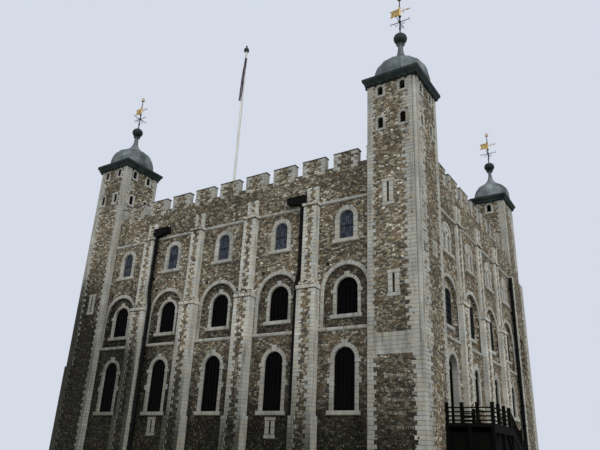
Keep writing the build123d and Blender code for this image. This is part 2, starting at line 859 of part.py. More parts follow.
# Timber landing in front of the entrance, on posts and beams
landing_inner = turret_x + turret_width / 2
landing_outer = landing_inner + landing_width
landing_start = side_bays[0] - landing_before_door
landing_end = side_bays[0] + landing_past_door
flight_inner = landing_outer - flight_width
deck_base = entrance_floor_top - deck_thickness
landing_corner = landing_outer - post_size / 2
deck_posts_x = [
    landing_inner + face_gap + post_size / 2,
    (landing_inner + landing_outer) / 2,
    landing_corner,
]
deck_posts_y = [
    landing_start + post_size / 2,
    (landing_start + landing_end) / 2,
    landing_end - post_size / 2,
]
with BuildPart() as landing:
    with BuildSketch(Plane.XY.offset(deck_base)):
        with Locations(((landing_inner + landing_outer) / 2, (landing_start + landing_end) / 2)):
            Rectangle(landing_outer - landing_inner, landing_end - landing_start)
        with Locations(((half_width + landing_inner) / 2, (landing_end - inner_half_depth) / 2)):
            Rectangle(landing_inner - half_width, landing_end + inner_half_depth)
    extrude(amount=deck_thickness)
    with BuildSketch(Plane.XY.offset(deck_base - beam_height)):
        for place in deck_posts_x:
            with Locations((place, (landing_start + landing_end) / 2)):
                Rectangle(post_size, landing_end - landing_start)
    extrude(amount=beam_height)
    with BuildSketch():
        for place in deck_posts_x:
            for row in deck_posts_y:
                with Locations((place, row)):
                    Rectangle(post_size, post_size)
    extrude(amount=deck_base)
landing.part.label = "stair_landing"
export_step(landing.part, "parts/stair_landing.step")

# Flight from the landing to the ground: two stringers, with open treads between them
flight_end = landing_end + tread_count * tread_going
riser = entrance_floor_top / tread_count
slope = riser / tread_going
with BuildPart() as flight:
    for inner_face in (flight_inner, landing_outer - stringer_thickness):
        with BuildSketch(Plane(origin=(inner_face, 0, 0), x_dir=(0, 1, 0), z_dir=(1, 0, 0))):
            with BuildLine():
                Polyline(
                    (landing_end, entrance_floor_top),
                    (landing_end, entrance_floor_top - stringer_height),
                    (flight_end - stringer_height / slope, 0),
                    (flight_end, 0),
                    close=True,
                )
            make_face()
        extrude(amount=stringer_thickness)
flight.part.label = "stair_stringers"
export_step(flight.part, "parts/stair_stringers.step")
with BuildPart() as treads:
    for step in range(1, tread_count):
        with BuildSketch(Plane.XY.offset(entrance_floor_top - step * riser - tread_thickness)):
            with Locations(((flight_inner + landing_outer) / 2, landing_end + (step - 0.5) * tread_going)):
                Rectangle(flight_width - 2 * stringer_thickness, tread_going - tread_gap)
        extrude(amount=tread_thickness)
treads.part.label = "stair_treads"
export_step(treads.part, "parts/stair_treads.step")

# Railings: posts and four rails around the landing and down both sides of the flight
rail_line_inner = flight_inner + post_size / 2
post_top = entrance_floor_top + post_height
rail_bases = [post_top - rail_drop - rail_spacing * step for step in range(rail_count)]
door_face = half_width + surround_proud + face_gap
landing_rails = [
    ((landing_inner + face_gap, landing_start), (landing_outer, landing_start + post_size)),
    ((landing_outer - post_size, landing_start), (landing_outer, landing_end)),
    ((door_face, landing_end - post_size), (flight_inner, landing_end)),
]
landing_posts = [
    (landing_inner + face_gap + post_size / 2 + step * post_spacing, landing_start + post_size / 2)
    for step in range(3)
]
landing_posts += [
    (landing_corner, landing_start + post_size / 2 + step * side_post_spacing) for step in range(4)
]
landing_posts += [(door_face + post_size / 2, landing_end - post_size / 2)]
landing_posts += [(flight_inner - post_size / 2, landing_end - post_size / 2)]
with BuildPart() as railing:
    with BuildSketch(Plane.XY.offset(entrance_floor_top)):
        with Locations(landing_posts):
            Rectangle(post_size, post_size)
    extrude(amount=post_height)
    for (start_x, start_y), (end_x, end_y) in landing_rails:
        rail_run_x = end_x - start_x if end_x - start_x > post_size * 1.01 else rail_thickness
        rail_run_y = end_y - start_y if end_y - start_y > post_size * 1.01 else rail_thickness
        for rail_base in rail_bases:
            with BuildSketch(Plane.XY.offset(rail_base)):
                with Locations(((start_x + end_x) / 2, (start_y + end_y) / 2)):
                    Rectangle(rail_run_x, rail_run_y)
            extrude(amount=rail_height)
    for line in (rail_line_inner, landing_corner):
        post_plane = Plane(origin=(line - post_size / 2, 0, 0), x_dir=(0, 1, 0), z_dir=(1, 0, 0))
        with BuildSketch(post_plane):
            for step in range(1, flight_post_count + 1):
                high_y = landing_end + step * flight_post_spacing - post_size / 2
                low_y = high_y + post_size
                high_foot = entrance_floor_top - (high_y - landing_end) * slope
                low_foot = entrance_floor_top - (low_y - landing_end) * slope
                with BuildLine():
                    Polyline(
                        (high_y, high_foot),
                        (low_y, low_foot),
                        (low_y, high_foot + post_height),
                        (high_y, high_foot + post_height),
                        close=True,
                    )
                make_face()
        extrude(amount=post_size)
        last_y = landing_end + flight_post_count * flight_post_spacing
        rail_plane = Plane(origin=(line - rail_thickness / 2, 0, 0), x_dir=(0, 1, 0), z_dir=(1, 0, 0))
        for rail_base in rail_bases:
            fall = (last_y - landing_end) * slope
            with BuildSketch(rail_plane):
                with BuildLine():
                    Polyline(
                        (landing_end - post_size, rail_base),
                        (landing_end, rail_base),
                        (last_y, rail_base - fall),
                        (last_y, rail_base - fall + rail_height),
                        (landing_end, rail_base + rail_height),
                        (landing_end - post_size, rail_base + rail_height),
                        close=True,
                    )
                make_face()
            extrude(amount=rail_thickness)
railing.part.label = "stair_railings"
export_step(railing.part, "parts/stair_railings.step")

# Dark boarding behind the posts of the landing and under the outer stringer
with BuildPart() as boarding:
    board_top = deck_base - beam_height
    board_start = landing_start + post_size + face_gap
    board_outer = landing_outer - post_size - face_gap
    with BuildSketch():
        board_start_x = landing_inner + face_gap
        board_end_x = board_outer - board_thickness - face_gap
        with Locations(((board_start_x + board_end_x) / 2, board_start + board_thickness / 2)):
            Rectangle(board_end_x - board_start_x, board_thickness)
        with Locations((board_outer - board_thickness / 2, (board_start + landing_end) / 2)):
            Rectangle(board_thickness, landing_end - board_start)
    extrude(amount=board_top)
    board_face = landing_outer - (stringer_thickness + board_thickness) / 2
    with BuildSketch(Plane(origin=(board_face, 0, 0), x_dir=(0, 1, 0), z_dir=(1, 0, 0))):
        with BuildLine():
            Polyline(
                (landing_end + face_gap, 0),
                (landing_end + face_gap, entrance_floor_top - stringer_height - 2 * face_gap),
                (flight_end - stringer_height / slope - 2 * face_gap, 0),
                close=True,
            )
        make_face()
    extrude(amount=board_thickness)
boarding.part.label = "stair_boarding"
export_step(boarding.part, "parts/stair_boarding.step")

# Flagpole on the front wall, close behind its parapet
pole_y = -(half_depth - parapet_thickness - pole_wall_gap)
with BuildPart() as flagpole:
    with BuildSketch(Plane.XY.offset(wall_top)):
        with Locations((pole_x, pole_y)):
            Rectangle(pole_foot_size, pole_foot_size)
    extrude(amount=pole_foot_height)
    pole_base = wall_top + pole_foot_height
    pole_top = wall_top + pole_rise
    pole_height = pole_top - pole_base
    with Locations((pole_x, pole_y, pole_base + pole_height / 2)):
        Cone(pole_radius, pole_top_radius, pole_height)
    with BuildSketch(Plane.XZ.offset(-pole_y)):
        with BuildLine():
            Polyline(
                (pole_x, pole_top),
                (pole_x + truck_radius, pole_top),
                (pole_x + truck_radius, pole_top + truck_height * 0.4),
                (pole_x + truck_radius * 0.7, pole_top + truck_height * 0.85),
                (pole_x + truck_stem_radius, pole_top + truck_height),
                (pole_x + truck_stem_radius, pole_top + truck_ball_rise),
                (pole_x, pole_top + truck_ball_rise),
                close=True,
            )
        make_face()
    revolve(axis=Axis((pole_x, pole_y, 0), (0, 0, 1)))
    with Locations((pole_x, pole_y, pole_top + truck_ball_rise)):
        Sphere(truck_ball_radius)
flagpole.part.label = "flagpole"
export_step(flagpole.part, "parts/flagpole.step")

# Limp flag, wound a fifth of a turn round the outside of the pole
with BuildPart() as flag:
    flag_base = pole_top - flag_top_drop - flag_drop
    pole_taper = (pole_radius - pole_top_radius) / pole_height
    pole_radius_there = pole_radius - pole_taper * (flag_base - pole_base)
    flag_reach = pole_radius_there + face_gap + flag_thickness / 2
    for step in range(flag_steps + 1):
        share = step / flag_steps
        turn = flag_foot_turn + (flag_top_turn - flag_foot_turn) * share
        with BuildSketch(Plane.XY.offset(flag_base + flag_drop * share)):
            with Locations((pole_x, pole_y)):
                with PolarLocations(flag_reach, 1, start_angle=turn):
                    Ellipse(flag_thickness / 2, flag_width / 2 * (1 - 0.2 * share))
    loft()
flag.part.label = "flag"
export_step(flag.part, "parts/flag.step")
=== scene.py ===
from math import cos, pi, radians, sin

import bpy
import numpy as np
from mathutils import Matrix, Vector


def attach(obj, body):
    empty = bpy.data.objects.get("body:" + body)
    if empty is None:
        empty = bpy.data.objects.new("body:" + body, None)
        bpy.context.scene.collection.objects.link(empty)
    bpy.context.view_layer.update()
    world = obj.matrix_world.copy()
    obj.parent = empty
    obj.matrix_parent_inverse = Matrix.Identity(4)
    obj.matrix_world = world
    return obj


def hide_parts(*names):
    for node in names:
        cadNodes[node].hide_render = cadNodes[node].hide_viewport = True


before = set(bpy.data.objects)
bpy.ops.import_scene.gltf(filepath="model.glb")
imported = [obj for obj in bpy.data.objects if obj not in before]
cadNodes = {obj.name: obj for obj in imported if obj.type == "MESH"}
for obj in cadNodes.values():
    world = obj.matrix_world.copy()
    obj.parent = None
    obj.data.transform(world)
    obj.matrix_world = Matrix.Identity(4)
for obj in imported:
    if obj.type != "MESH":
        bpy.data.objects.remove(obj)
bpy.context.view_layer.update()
print("keep: frame loaded,", len(cadNodes), "nodes")

# the pieces' sizes are the real keep's in metres, and the model is half of that; the sizes in the finishes
# and of the studio's floor are the model's own
metre = 0.5
stoneDice = np.random.default_rng(1078)
upward = np.array([0.0, 0.0, 1.0])

plan = {
    # half sizes over the walls, and half the run of a wall between its turrets
    "halfWidth": 17.57, "halfDepth": 14.45, "frontRun": 14.0, "sideRun": 10.65,
    # middles and half sizes of the turrets, and how the two at the back differ above the eaves
    "turretX": 16.0, "turretY": 12.8, "turretHalfX": 2.0, "turretHalfY": 2.15,
    "backHalfX": 1.65, "backHalfY": 1.8, "backShift": 0.15,
    # heights of the roof, the eaves course, the turrets' walls and their cornices
    "wallTop": 23.4, "eaves": 21.96, "turretTop": 30.98, "cornice": 0.71,
    # middles of the bays of windows
    "frontBays": [-11.96, -5.98, 0.0, 5.98, 11.96],
    "sideBays": [-8.4, -2.8, 2.8, 8.4],
}

# each face of the keep: the direction that runs to the right seen from outside, the one that points out,
# and how far its wall stands from the middle
faces = {
    "front": {"along": (1, 0, 0), "outward": (0, -1, 0), "distance": plan["halfDepth"]},
    "right": {"along": (0, 1, 0), "outward": (1, 0, 0), "distance": plan["halfWidth"]},
    "back": {"along": (-1, 0, 0), "outward": (0, 1, 0), "distance": plan["halfDepth"]},
    "left": {"along": (0, -1, 0), "outward": (-1, 0, 0), "distance": plan["halfWidth"]},
}
corners = {"near": (1, -1), "left": (-1, -1), "right": (1, 1), "back": (-1, 1)}


def turretBox(corner):
    # middle and half sizes of a turret above the roof
    sideX, sideY = corners[corner]
    if sideY < 0:
        return sideX * plan["turretX"], -plan["turretY"], plan["turretHalfX"], plan["turretHalfY"]
    away = plan["turretX"] + plan["backShift"]
    return sideX * away, plan["turretY"], plan["backHalfX"], plan["backHalfY"]


def linear(tone, brightness=1.0):
    # the linear values of a colour given in 0..255 as it looks on a screen
    return tuple(((value / 255 + 0.055) / 1.055) ** 2.4 if value > 10 else value / 255 / 12.92
                 for value in (brightness * part for part in tone))


class Nodes:
    # short calls for the nodes of one tree
    def __init__(self, tree):
        self.tree = tree

    def put(self, socket, value):
        # a link, a colour or a number
        if isinstance(value, bpy.types.NodeSocket):
            self.tree.links.new(value, socket)
        else:
            socket.default_value = (*value, 1.0) if socket.type == "RGBA" else value

    def add(self, kind, inputs=(), **settings):
        node = self.tree.nodes.new("ShaderNode" + kind)
        for key, value in settings.items():
            setattr(node, key, value)
        for key, value in dict(inputs).items():
            self.put(node.inputs[key], value)
        return node

    def math(self, operation, first, second=0.0, clamp=False):
        return self.add("Math", {0: first, 1: second}, operation=operation, use_clamp=clamp).outputs[0]

    def plus(self, first, second):
        return self.math("ADD", first, second)

    def times(self, first, second):
        return self.math("MULTIPLY", first, second)


# where the soot and painted shade come and go, between places in the model's metres, and how much of it there
# is
sootShadePlaces = {"wander": 3.0, "frontWall": (-6.6, -7.2), "climb": (-0.5, -8.6, 0.0, 4.0), "climbShare": 0.14,
              "entranceEnd": (8.7, 6.6, 0.12, 1.0), "nearTurret": (-7.1, -7.3), "otherSides": 0.5,
              "farTurret": (-8.4, -8.6, 0.0, 1.6), "litSide": (0.3, 0.8, 1.0, 0.35),
              "recessShade": ((-7.21, -7.15), (-6.9, -7.0))}


class NodeSheet(Nodes):
    # a material's tree, with the nodes that the finishes share
    def __init__(self, name):
        self.material = bpy.data.materials.new(name)
        self.material.use_nodes = True
        super().__init__(self.material.node_tree)
        self.coords = self.add("TexCoord").outputs["Object"]

    def split(self, vector):
        return self.add("SeparateXYZ", {0: vector}).outputs

    def flat(self, x, y):
        return self.add("CombineXYZ", {0: x, 1: y}).outputs[0]

    def upright(self):
        # the same on every wall: x + y along it, and the height
        x, y, z = self.split(self.coords)
        return self.flat(self.plus(x, y), z)

    def tone(self):
        return self.add("Attribute", attribute_name="tone").outputs["Fac"]

    def stretch(self, factors, vector=None):
        return self.add("VectorMath", {0: vector or self.coords, 1: factors}, operation="MULTIPLY").outputs[0]

    def noise(self, scale, detail=3.0, vector=None):
        inputs = {"Vector": vector or self.coords, "Scale": scale, "Detail": detail, "Roughness": 0.55}
        return self.add("TexNoise", inputs).outputs["Fac"]

    def brick(self, vector, size, mortar, tones, offset=0.5):
        # rows of bricks in two tones, with the size and softness of their mortar
        inputs = {"Vector": vector, "Scale": 1.0, "Bias": 0.0, "Brick Width": size[0], "Row Height": size[1],
                  "Mortar Size": mortar[0], "Mortar Smooth": mortar[1]}
        return self.add("TexBrick", {**inputs, **dict(zip(("Color1", "Color2", "Mortar"), tones))},
                        offset=offset).outputs

    def ramp(self, factor, stops, interpolation="LINEAR"):
        node = self.add("ValToRGB", {"Fac": factor})
        node.color_ramp.interpolation = interpolation
        points = node.color_ramp.elements
        while len(points) < len(stops):
            points.new(0.5)
        for point, (place, tone) in zip(points, stops):
            point.position = place
            point.color = (*tone, 1.0)
        return node.outputs["Color"]

    def spread(self, value, low, high, newLow=0.0, newHigh=1.0):
        inputs = {"Value": value, "From Min": low, "From Max": high, "To Min": newLow, "To Max": newHigh}
        return self.add("MapRange", inputs, clamp=True).outputs["Result"]

    def mix(self, factor, first, second, blend="MIX"):
        # sockets 6 and 7 and output 2 are the node's colours
        inputs = {6: first, 7: second, "Factor": factor}
        return self.add("Mix", inputs, data_type="RGBA", blend_type=blend).outputs[2]

    def veil(self, color, value, low, high, amount, tone, blend="MIX"):
        # lays a tone on the colour as a value runs from low to high, up to the amount
        return self.mix(self.spread(value, low, high, 0.0, amount), color, linear(tone), blend)

    def sootAndShade(self, foot, top, amount, nearFront=0.0, recessShade=0.0):
        # soot and painted shade together: strongest at the foot of the front, wandering in height, higher
        # and thicker on its far left turret, where it is partly the painted shadow of trees, and fading
        # towards the entrance side, where the near turret's front keeps a share of it
        places, (x, y, z) = sootShadePlaces, self.split(self.coords)
        wander = self.times(self.math("SUBTRACT", self.noise(0.6, 4.0), 0.5), places["wander"])
        front = self.spread(y, *places["frontWall"])
        climb = self.times(self.spread(x, *places["climb"]), front)
        rise = self.spread(self.math("SUBTRACT", self.plus(z, wander), climb), foot, top, amount, 0.0)
        nearest = self.spread(y, *places["nearTurret"], 0.0, nearFront)
        reach = self.math("MAXIMUM", self.spread(x, *places["entranceEnd"]), nearest)
        thick = self.times(reach, self.spread(front, 0.0, 1.0, places["otherSides"], 1.0))
        thick = self.plus(thick, self.times(climb, places["climbShare"]))
        thick = self.plus(thick, self.times(self.spread(x, *places["farTurret"]), front))
        # faces turned to the entrance side, which the light falls on, keep little of it: painted light on
        # that side
        facing = self.split(self.add("NewGeometry").outputs["True Normal"])[0]
        thick = self.times(rise, self.times(thick, self.spread(facing, *places["litSide"])))
        # painted shade, the shadow of the arch rings, on what is set back a little behind the front's face
        start, end = places["recessShade"]
        recessShadow = self.times(self.spread(y, *start), self.spread(y, *end, 0.0, recessShade))
        return self.math("ADD", thick, recessShadow, clamp=True)

    def finish(self, color, roughness=0.8, metallic=0.0, bump=None, depth=0.01, strength=0.6, sheen=0.2):
        shader = self.tree.nodes["Principled BSDF"]
        for key, value in (("Base Color", color), ("Roughness", roughness), ("Metallic", metallic),
                           ("Specular IOR Level", sheen)):
            self.put(shader.inputs[key], value)
        if bump:
            relief = self.add("Bump", {"Strength": strength, "Distance": depth, "Height": bump})
            self.put(shader.inputs["Normal"], relief.outputs["Normal"])
        return self.material


rubble = {
    "stoneSize": 0.12, "flatness": 1.6, "jointWidth": 0.05,
    "tones": [(74, 72, 66), (86, 81, 74), (100, 92, 78), (112, 95, 74), (128, 117, 97), (135, 130, 117),
              (147, 138, 118), (180, 175, 163)],
    "joint": (158, 152, 136), "gap": (40, 37, 30), "grime": (60, 56, 46), "stain": (92, 91, 80),
    # the tone that the soot and painted shade multiply in, and the heights between which it fades out upwards
    "sootAndShade": (78, 80, 76), "sootShadeFoot": 2.6, "sootShadeTop": 6.7,
}


def rubbleFinish(name, sootShadeAmount, brightness=1.0, ownTone=False):
    # cells of stone flattened into rough courses, pale mortar in some joints and open dark gaps in others,
    # with soot and painted shade low on the walls, and painted shade in the recesses of the front
    sheet = NodeSheet(name)
    ripple = sheet.add("TexNoise", {"Vector": sheet.coords, "Scale": 5.0}).outputs["Color"]
    bent = {0: sheet.coords, 1: sheet.stretch((0.08, 0.08, 0.05), ripple)}
    warp = sheet.add("VectorMath", bent, operation="ADD").outputs[0]
    inputs = {"Vector": sheet.stretch((1.0, 1.0, rubble["flatness"]), warp),
              "Scale": 1.0 / rubble["stoneSize"]}
    pick = sheet.split(sheet.add("TexVoronoi", inputs).outputs["Color"])[0]
    edge = sheet.add("TexVoronoi", inputs, feature="DISTANCE_TO_EDGE").outputs["Distance"]
    if ownTone:
        pick = sheet.plus(sheet.times(sheet.tone(), 0.68), sheet.times(pick, 0.32))
    count = len(rubble["tones"])
    stops = [(index / count, linear(tone, brightness)) for index, tone in enumerate(rubble["tones"])]
    color = sheet.ramp(pick, stops, "CONSTANT")
    grain = sheet.noise(14.0, 6.0)
    color = sheet.veil(color, grain, 0.3, 0.7, 0.45, rubble["grime"], "MULTIPLY")
    missing = sheet.spread(sheet.noise(1.3, 4.0), 0.42, 0.58)
    joint = sheet.mix(missing, linear(rubble["joint"]), linear(rubble["gap"]))
    jointMask = sheet.spread(edge, 0.0, rubble["jointWidth"], 1.0, 0.0)
    color = sheet.mix(sheet.times(jointMask, 0.1 if ownTone else 0.85), color, joint)
    color = sheet.veil(color, sheet.noise(0.35, 5.0), 0.35, 0.65, 0.5, rubble["stain"], "MULTIPLY")
    # soot and painted shade low on the walls, and at half strength the painted shade of the front's recesses
    sootAndShade = sheet.sootAndShade(rubble["sootShadeFoot"], rubble["sootShadeTop"], sootShadeAmount, 0.95, 0.5)
    color = sheet.mix(sootAndShade, color, linear(rubble["sootAndShade"]), "MULTIPLY")
    relief = sheet.plus(sheet.spread(edge, 0.0, 0.16), sheet.times(grain, 0.35))
    return sheet.finish(color, 0.92, bump=relief, depth=0.03, strength=0.9)


ashlar = {
    "pale": (178, 178, 171), "grey": (142, 143, 138), "warm": (166, 157, 136), "dirt": (74, 73, 66),
    # the tone that the soot and painted shade multiply in, and the heights between which it fades out upwards
    "sootAndShade": (86, 87, 80), "sootShadeFoot": 2.0, "sootShadeTop": 6.4,
    "block": (0.34, 0.15), "mortar": (0.006, 0.3), "joint": (104, 99, 88),
}


def ashlarFinish(name, bricks=True, brightness=1.0, sootShadeAmount=0.5):
    # dressed blocks: pale, grey and warm stones, thin joints, and dirt washed down from ledges
    sheet = NodeSheet(name)
    pale, grey, warm = (linear(ashlar[key], brightness) for key in ("pale", "grey", "warm"))
    color = sheet.mix(sheet.spread(sheet.noise(1.1, 5.0), 0.35, 0.65), pale, grey)
    relief = sheet.noise(22.0, 6.0)
    if bricks:
        tones = (pale, warm, linear(ashlar["joint"]))
        laid = sheet.brick(sheet.upright(), ashlar["block"], ashlar["mortar"], tones)
        color = sheet.mix(0.55, color, laid["Color"])
        relief = sheet.math("SUBTRACT", sheet.times(relief, 0.4), laid["Fac"])
    else:
        tone = sheet.tone()
        color = sheet.mix(sheet.spread(tone, 0.3, 1.0, 0.0, 0.6), color, warm)
        shade = sheet.math("FRACT", sheet.times(tone, 7.0))
        color = sheet.mix(sheet.spread(shade, 0.0, 1.0, 0.0, 0.45), color, grey)
    streaks = sheet.noise(1.0, 6.0, sheet.stretch((6.0, 6.0, 0.7)))
    color = sheet.veil(color, streaks, 0.5, 0.72, 0.55, ashlar["dirt"])
    color = sheet.veil(color, sheet.noise(40.0), 0.52, 0.75, 0.4, ashlar["dirt"])
    # soot and painted shade low on the walls, as on the rubble but without the recesses' shade
    sootAndShade = sheet.sootAndShade(ashlar["sootShadeFoot"], ashlar["sootShadeTop"], sootShadeAmount)
    color = sheet.mix(sootAndShade, color, linear(ashlar["sootAndShade"]), "MULTIPLY")
    return sheet.finish(color, 0.85, bump=relief, strength=0.5)


lead = {"tones": [(0.3, (67, 73, 76)), (0.5, (108, 115, 118)), (0.7, (152, 158, 160))], "green": (70, 98, 86),
        "dark": (40, 46, 48), "sheets": [(92, 98, 100), (138, 143, 144), (56, 60, 62)], "sheet": (1.35, 0.45),
        "seam": (0.012, 0.2), "bloom": (84, 90, 91)}


def leadFinish(name, roofSheets=False):
    # grey lead with pale bloom and green streaks that run down, or laid flat in long sheets of differing tone
    sheet = NodeSheet(name)
    if roofSheets:
        x, y, z = sheet.split(sheet.coords)
        laid = sheet.brick(sheet.flat(y, x), lead["sheet"], lead["seam"], map(linear, lead["sheets"]), 0.37)
        color = sheet.veil(laid["Color"], sheet.noise(7.0, 6.0), 0.35, 0.65, 0.5, lead["bloom"])
        return sheet.finish(color, 0.6, 0.15, laid["Fac"], strength=0.5)
    color = sheet.ramp(sheet.noise(1.6, 6.0), [(place, linear(tone)) for place, tone in lead["tones"]])
    streaks = sheet.noise(1.0, 5.0, sheet.stretch((5.0, 5.0, 0.8)))
    color = sheet.veil(color, streaks, 0.5, 0.7, 0.7, lead["green"])
    color = sheet.veil(color, sheet.tone(), 0.0, 1.0, 0.45, lead["dark"])
    return sheet.finish(color, 0.55, 0.15, sheet.noise(9.0, 4.0), strength=0.35)


def paintFinish(name, tone, wear, roughness=0.45, grain=(1.0, 1.0, 1.0), metallic=0.0, sheen=0.3):
    # paint or metal that dulls in patches, with a fine grain along the piece
    sheet = NodeSheet(name)
    patches = sheet.noise(2.5, 6.0, sheet.stretch(grain))
    rough = sheet.spread(patches, 0.3, 0.7, roughness, min(1.0, roughness + 0.25))
    return sheet.finish(sheet.veil(linear(tone), patches, 0.4, 0.7, 1.0, wear), rough, metallic,
                        sheet.noise(60.0, 3.0, sheet.stretch(grain)), 0.003, 0.4, sheen)


cloth = {"blue": (74, 75, 98), "white": (190, 187, 194), "red": (138, 74, 84), "dark": (20, 20, 24),
         "bands": [(0.0, "blue"), (0.36, "white"), (0.5, "red"), (0.62, "white"), (0.76, "blue")]}


def clothFinish(name):
    # woven cloth in three plain colours that run slantwise through the folds, with a fine weave
    sheet = NodeSheet(name)
    slant = sheet.plus(sheet.times(sheet.tone(), 2.0), sheet.times(sheet.split(sheet.coords)[2], 0.55))
    stops = [(place, linear(cloth[key])) for place, key in cloth["bands"]]
    color = sheet.ramp(sheet.math("FRACT", slant), stops, "CONSTANT")
    weave = sheet.noise(160.0, 2.0)
    return sheet.finish(sheet.veil(color, weave, 0.4, 0.6, 0.2, cloth["dark"]), 0.9, 0.0, weave, 0.002, 0.3)


def timberFinish(name, tone, pale, across=0.12):
    # boards of one wood: each board's own tone, dark seams, and grain that runs along it
    sheet = NodeSheet(name)
    x, y, z = sheet.split(sheet.coords)
    board = sheet.math("FLOOR", sheet.math("DIVIDE", sheet.plus(x, y), across))
    own = sheet.add("TexWhiteNoise", {"W": board}, noise_dimensions="1D")
    grain = sheet.noise(6.0, 8.0, sheet.stretch((6.0, 6.0, 0.8)))
    color = sheet.veil(linear(tone), grain, 0.35, 0.65, 1.0, pale)
    color = sheet.mix(sheet.times(own.outputs["Value"], 0.35), color, linear(pale))
    return sheet.finish(color, 0.85, 0.0, grain, 0.006, 0.5, 0.06)


glass = {"pane": (0.09, 0.11), "leading": (0.006, 0.1), "tones": [(46, 50, 58), (80, 86, 97), (20, 21, 22)],
         "black": (4, 4, 4), "paintedSkyFrom": (8.2, 9.2)}


def glassFinish(name):
    # dark glass in small leaded panes, each one tilted a little differently; only the top rows show the sky,
    # as a painted reflection in the panes' grey-blue tones, and lower down the glass is plain black
    sheet = NodeSheet(name)
    panes = sheet.brick(sheet.upright(), glass["pane"], glass["leading"], map(linear, glass["tones"]), 0.0)
    # under these heights the painted reflection of the sky gives way to plain black
    low = sheet.spread(sheet.split(sheet.coords)[2], *glass["paintedSkyFrom"], 1.0, 0.0)
    color = sheet.mix(low, panes["Color"], linear(glass["black"]))
    rough = sheet.spread(panes["Fac"], 0.0, 1.0, 0.3, 0.6)
    return sheet.finish(color, rough, 0.0, sheet.noise(7.0, 1.0), 0.02, 0.15, 0.04)


finishes = {
    "wall": rubbleFinish("coursedRubble", 1.0, 1.34),
    "stones": rubbleFinish("rubbleStones", 1.0, 1.34, ownTone=True),
    "pier": rubbleFinish("pilasterRubble", 0.95, 1.46),
    "piers": ashlarFinish("pilasterBlocks", bricks=False, brightness=1.2, sootShadeAmount=0.95),
    "coping": paintFinish("darkCoping", (74, 74, 70), (104, 104, 98), 0.8),
    "cloth": clothFinish("flagCloth"),
    "dressed": ashlarFinish("dressedCourses"),
    "blocks": ashlarFinish("dressedBlocks", bricks=False, brightness=1.06),
    "lead": leadFinish("weatheredLead"),
    "roofLead": leadFinish("roofSheets", roofSheets=True),
    "cornice": paintFinish("corniceBlackGreen", (26, 33, 32), (50, 62, 58), 0.6, sheen=0.15),
    "gilt": paintFinish("wornGilding", (206, 178, 112), (138, 114, 72), 0.36, metallic=0.65),
    "darkMetal": paintFinish("darkBronze", (34, 40, 40), (58, 70, 64), 0.45, metallic=0.5),
    "iron": paintFinish("blackPipe", (9, 9, 10), (24, 23, 22), 0.6, (4.0, 4.0, 0.6), sheen=0.08),
    "grille": paintFinish("grilleIron", (5, 5, 5), (13, 13, 13), 0.7, (4.0, 4.0, 0.6), sheen=0.04),
    # near-black timber of the stair, also used as painted shade inside the doorway
    "timber": timberFinish("tarredTimberAndShade", (5, 5, 5), (17, 15, 13)),
    "floor": timberFinish("oakBoards", (96, 76, 54), (130, 106, 78), 0.2),
    "glass": glassFinish("leadedGlass"),
    "pole": paintFinish("whitePolePaint", (222, 222, 216), (180, 180, 172), 0.4, (6.0, 6.0, 0.4)),
}
print("keep: finishes ready,", len(finishes))

# a part of the name of each CAD node, and its finish
dressings = {
    "_wall": "wall", "_parapet": "wall", "_turret": "wall", "_pilasters": "pier",
    "_arches_and_strings": "dressed", "_window_surrounds": "dressed", "turret_slit_frames": "dressed",
    "_floor": "floor", "roof_deck": "roofLead", "turret_domes": "lead", "turret_cornices": "cornice",
    "_weather_vane": "gilt", "turret_finials": "darkMetal", "rainwater_pipes": "iron", "stair_": "timber",
    "window_glass": "glass", "flag": "pole",
}
for name, node in cadNodes.items():
    for part, finish in dressings.items():
        if part in name:
            node.data.materials.clear()
            node.data.materials.append(finishes[finish])
print("keep: CAD nodes dressed")


# A shape is rows of x, y, z in real metres, a list of arrays of polygons that count those rows, and a list of
# arrays with one tone for each polygon
def makePiece(name, shapes, finish, node=None, body="keep", smooth=False):
    # the shapes end to end as one mesh at the model's size, in place of a CAD node where one is named; where
    # smooth, only the four-cornered faces are shaded round
    starts = np.cumsum([0] + [len(shape[0]) for shape in shapes])
    points = np.concatenate([shape[0] for shape in shapes])
    polygons = [some + start for shape, start in zip(shapes, starts) for some in shape[1]]
    tones = np.concatenate([some for shape in shapes for some in shape[2]])
    sizes = np.concatenate([np.full(len(some), some.shape[1]) for some in polygons])
    loops = np.concatenate([some.ravel() for some in polygons])
    mesh = bpy.data.meshes.new(name)
    mesh.vertices.add(len(points))
    mesh.vertices.foreach_set("co", (points * metre).astype(np.float32).ravel())
    mesh.loops.add(len(loops))
    mesh.loops.foreach_set("vertex_index", loops.astype(np.int32))
    mesh.polygons.add(len(sizes))
    mesh.polygons.foreach_set("loop_start", (np.cumsum(sizes) - sizes).astype(np.int32))
    mesh.polygons.foreach_set("use_smooth", (sizes == 4) & smooth)
    mesh.update(calc_edges=True)
    mesh.attributes.new("tone", "FLOAT", "FACE").data.foreach_set("value", tones.astype(np.float32))
    mesh.materials.append(finishes[finish])
    piece = bpy.data.objects.new(name, mesh)
    bpy.context.collection.objects.link(piece)
    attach(piece, body)
    if node:
        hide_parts(node)
    return piece


def onPlate(plate, flat):
    # point = middle + along * a + up * b + outward * (distance + c), for rows of (a, b, c)
    along, outward = np.array(plate["along"], float), np.array(plate["outward"], float)
    middle = np.array(plate.get("middle", (0.0, 0.0, 0.0)))
    across, rise, out = flat[..., 0:1], flat[..., 1:2], plate["distance"] + flat[..., 2:3]
    return middle + across * along + rise * upward + out * outward


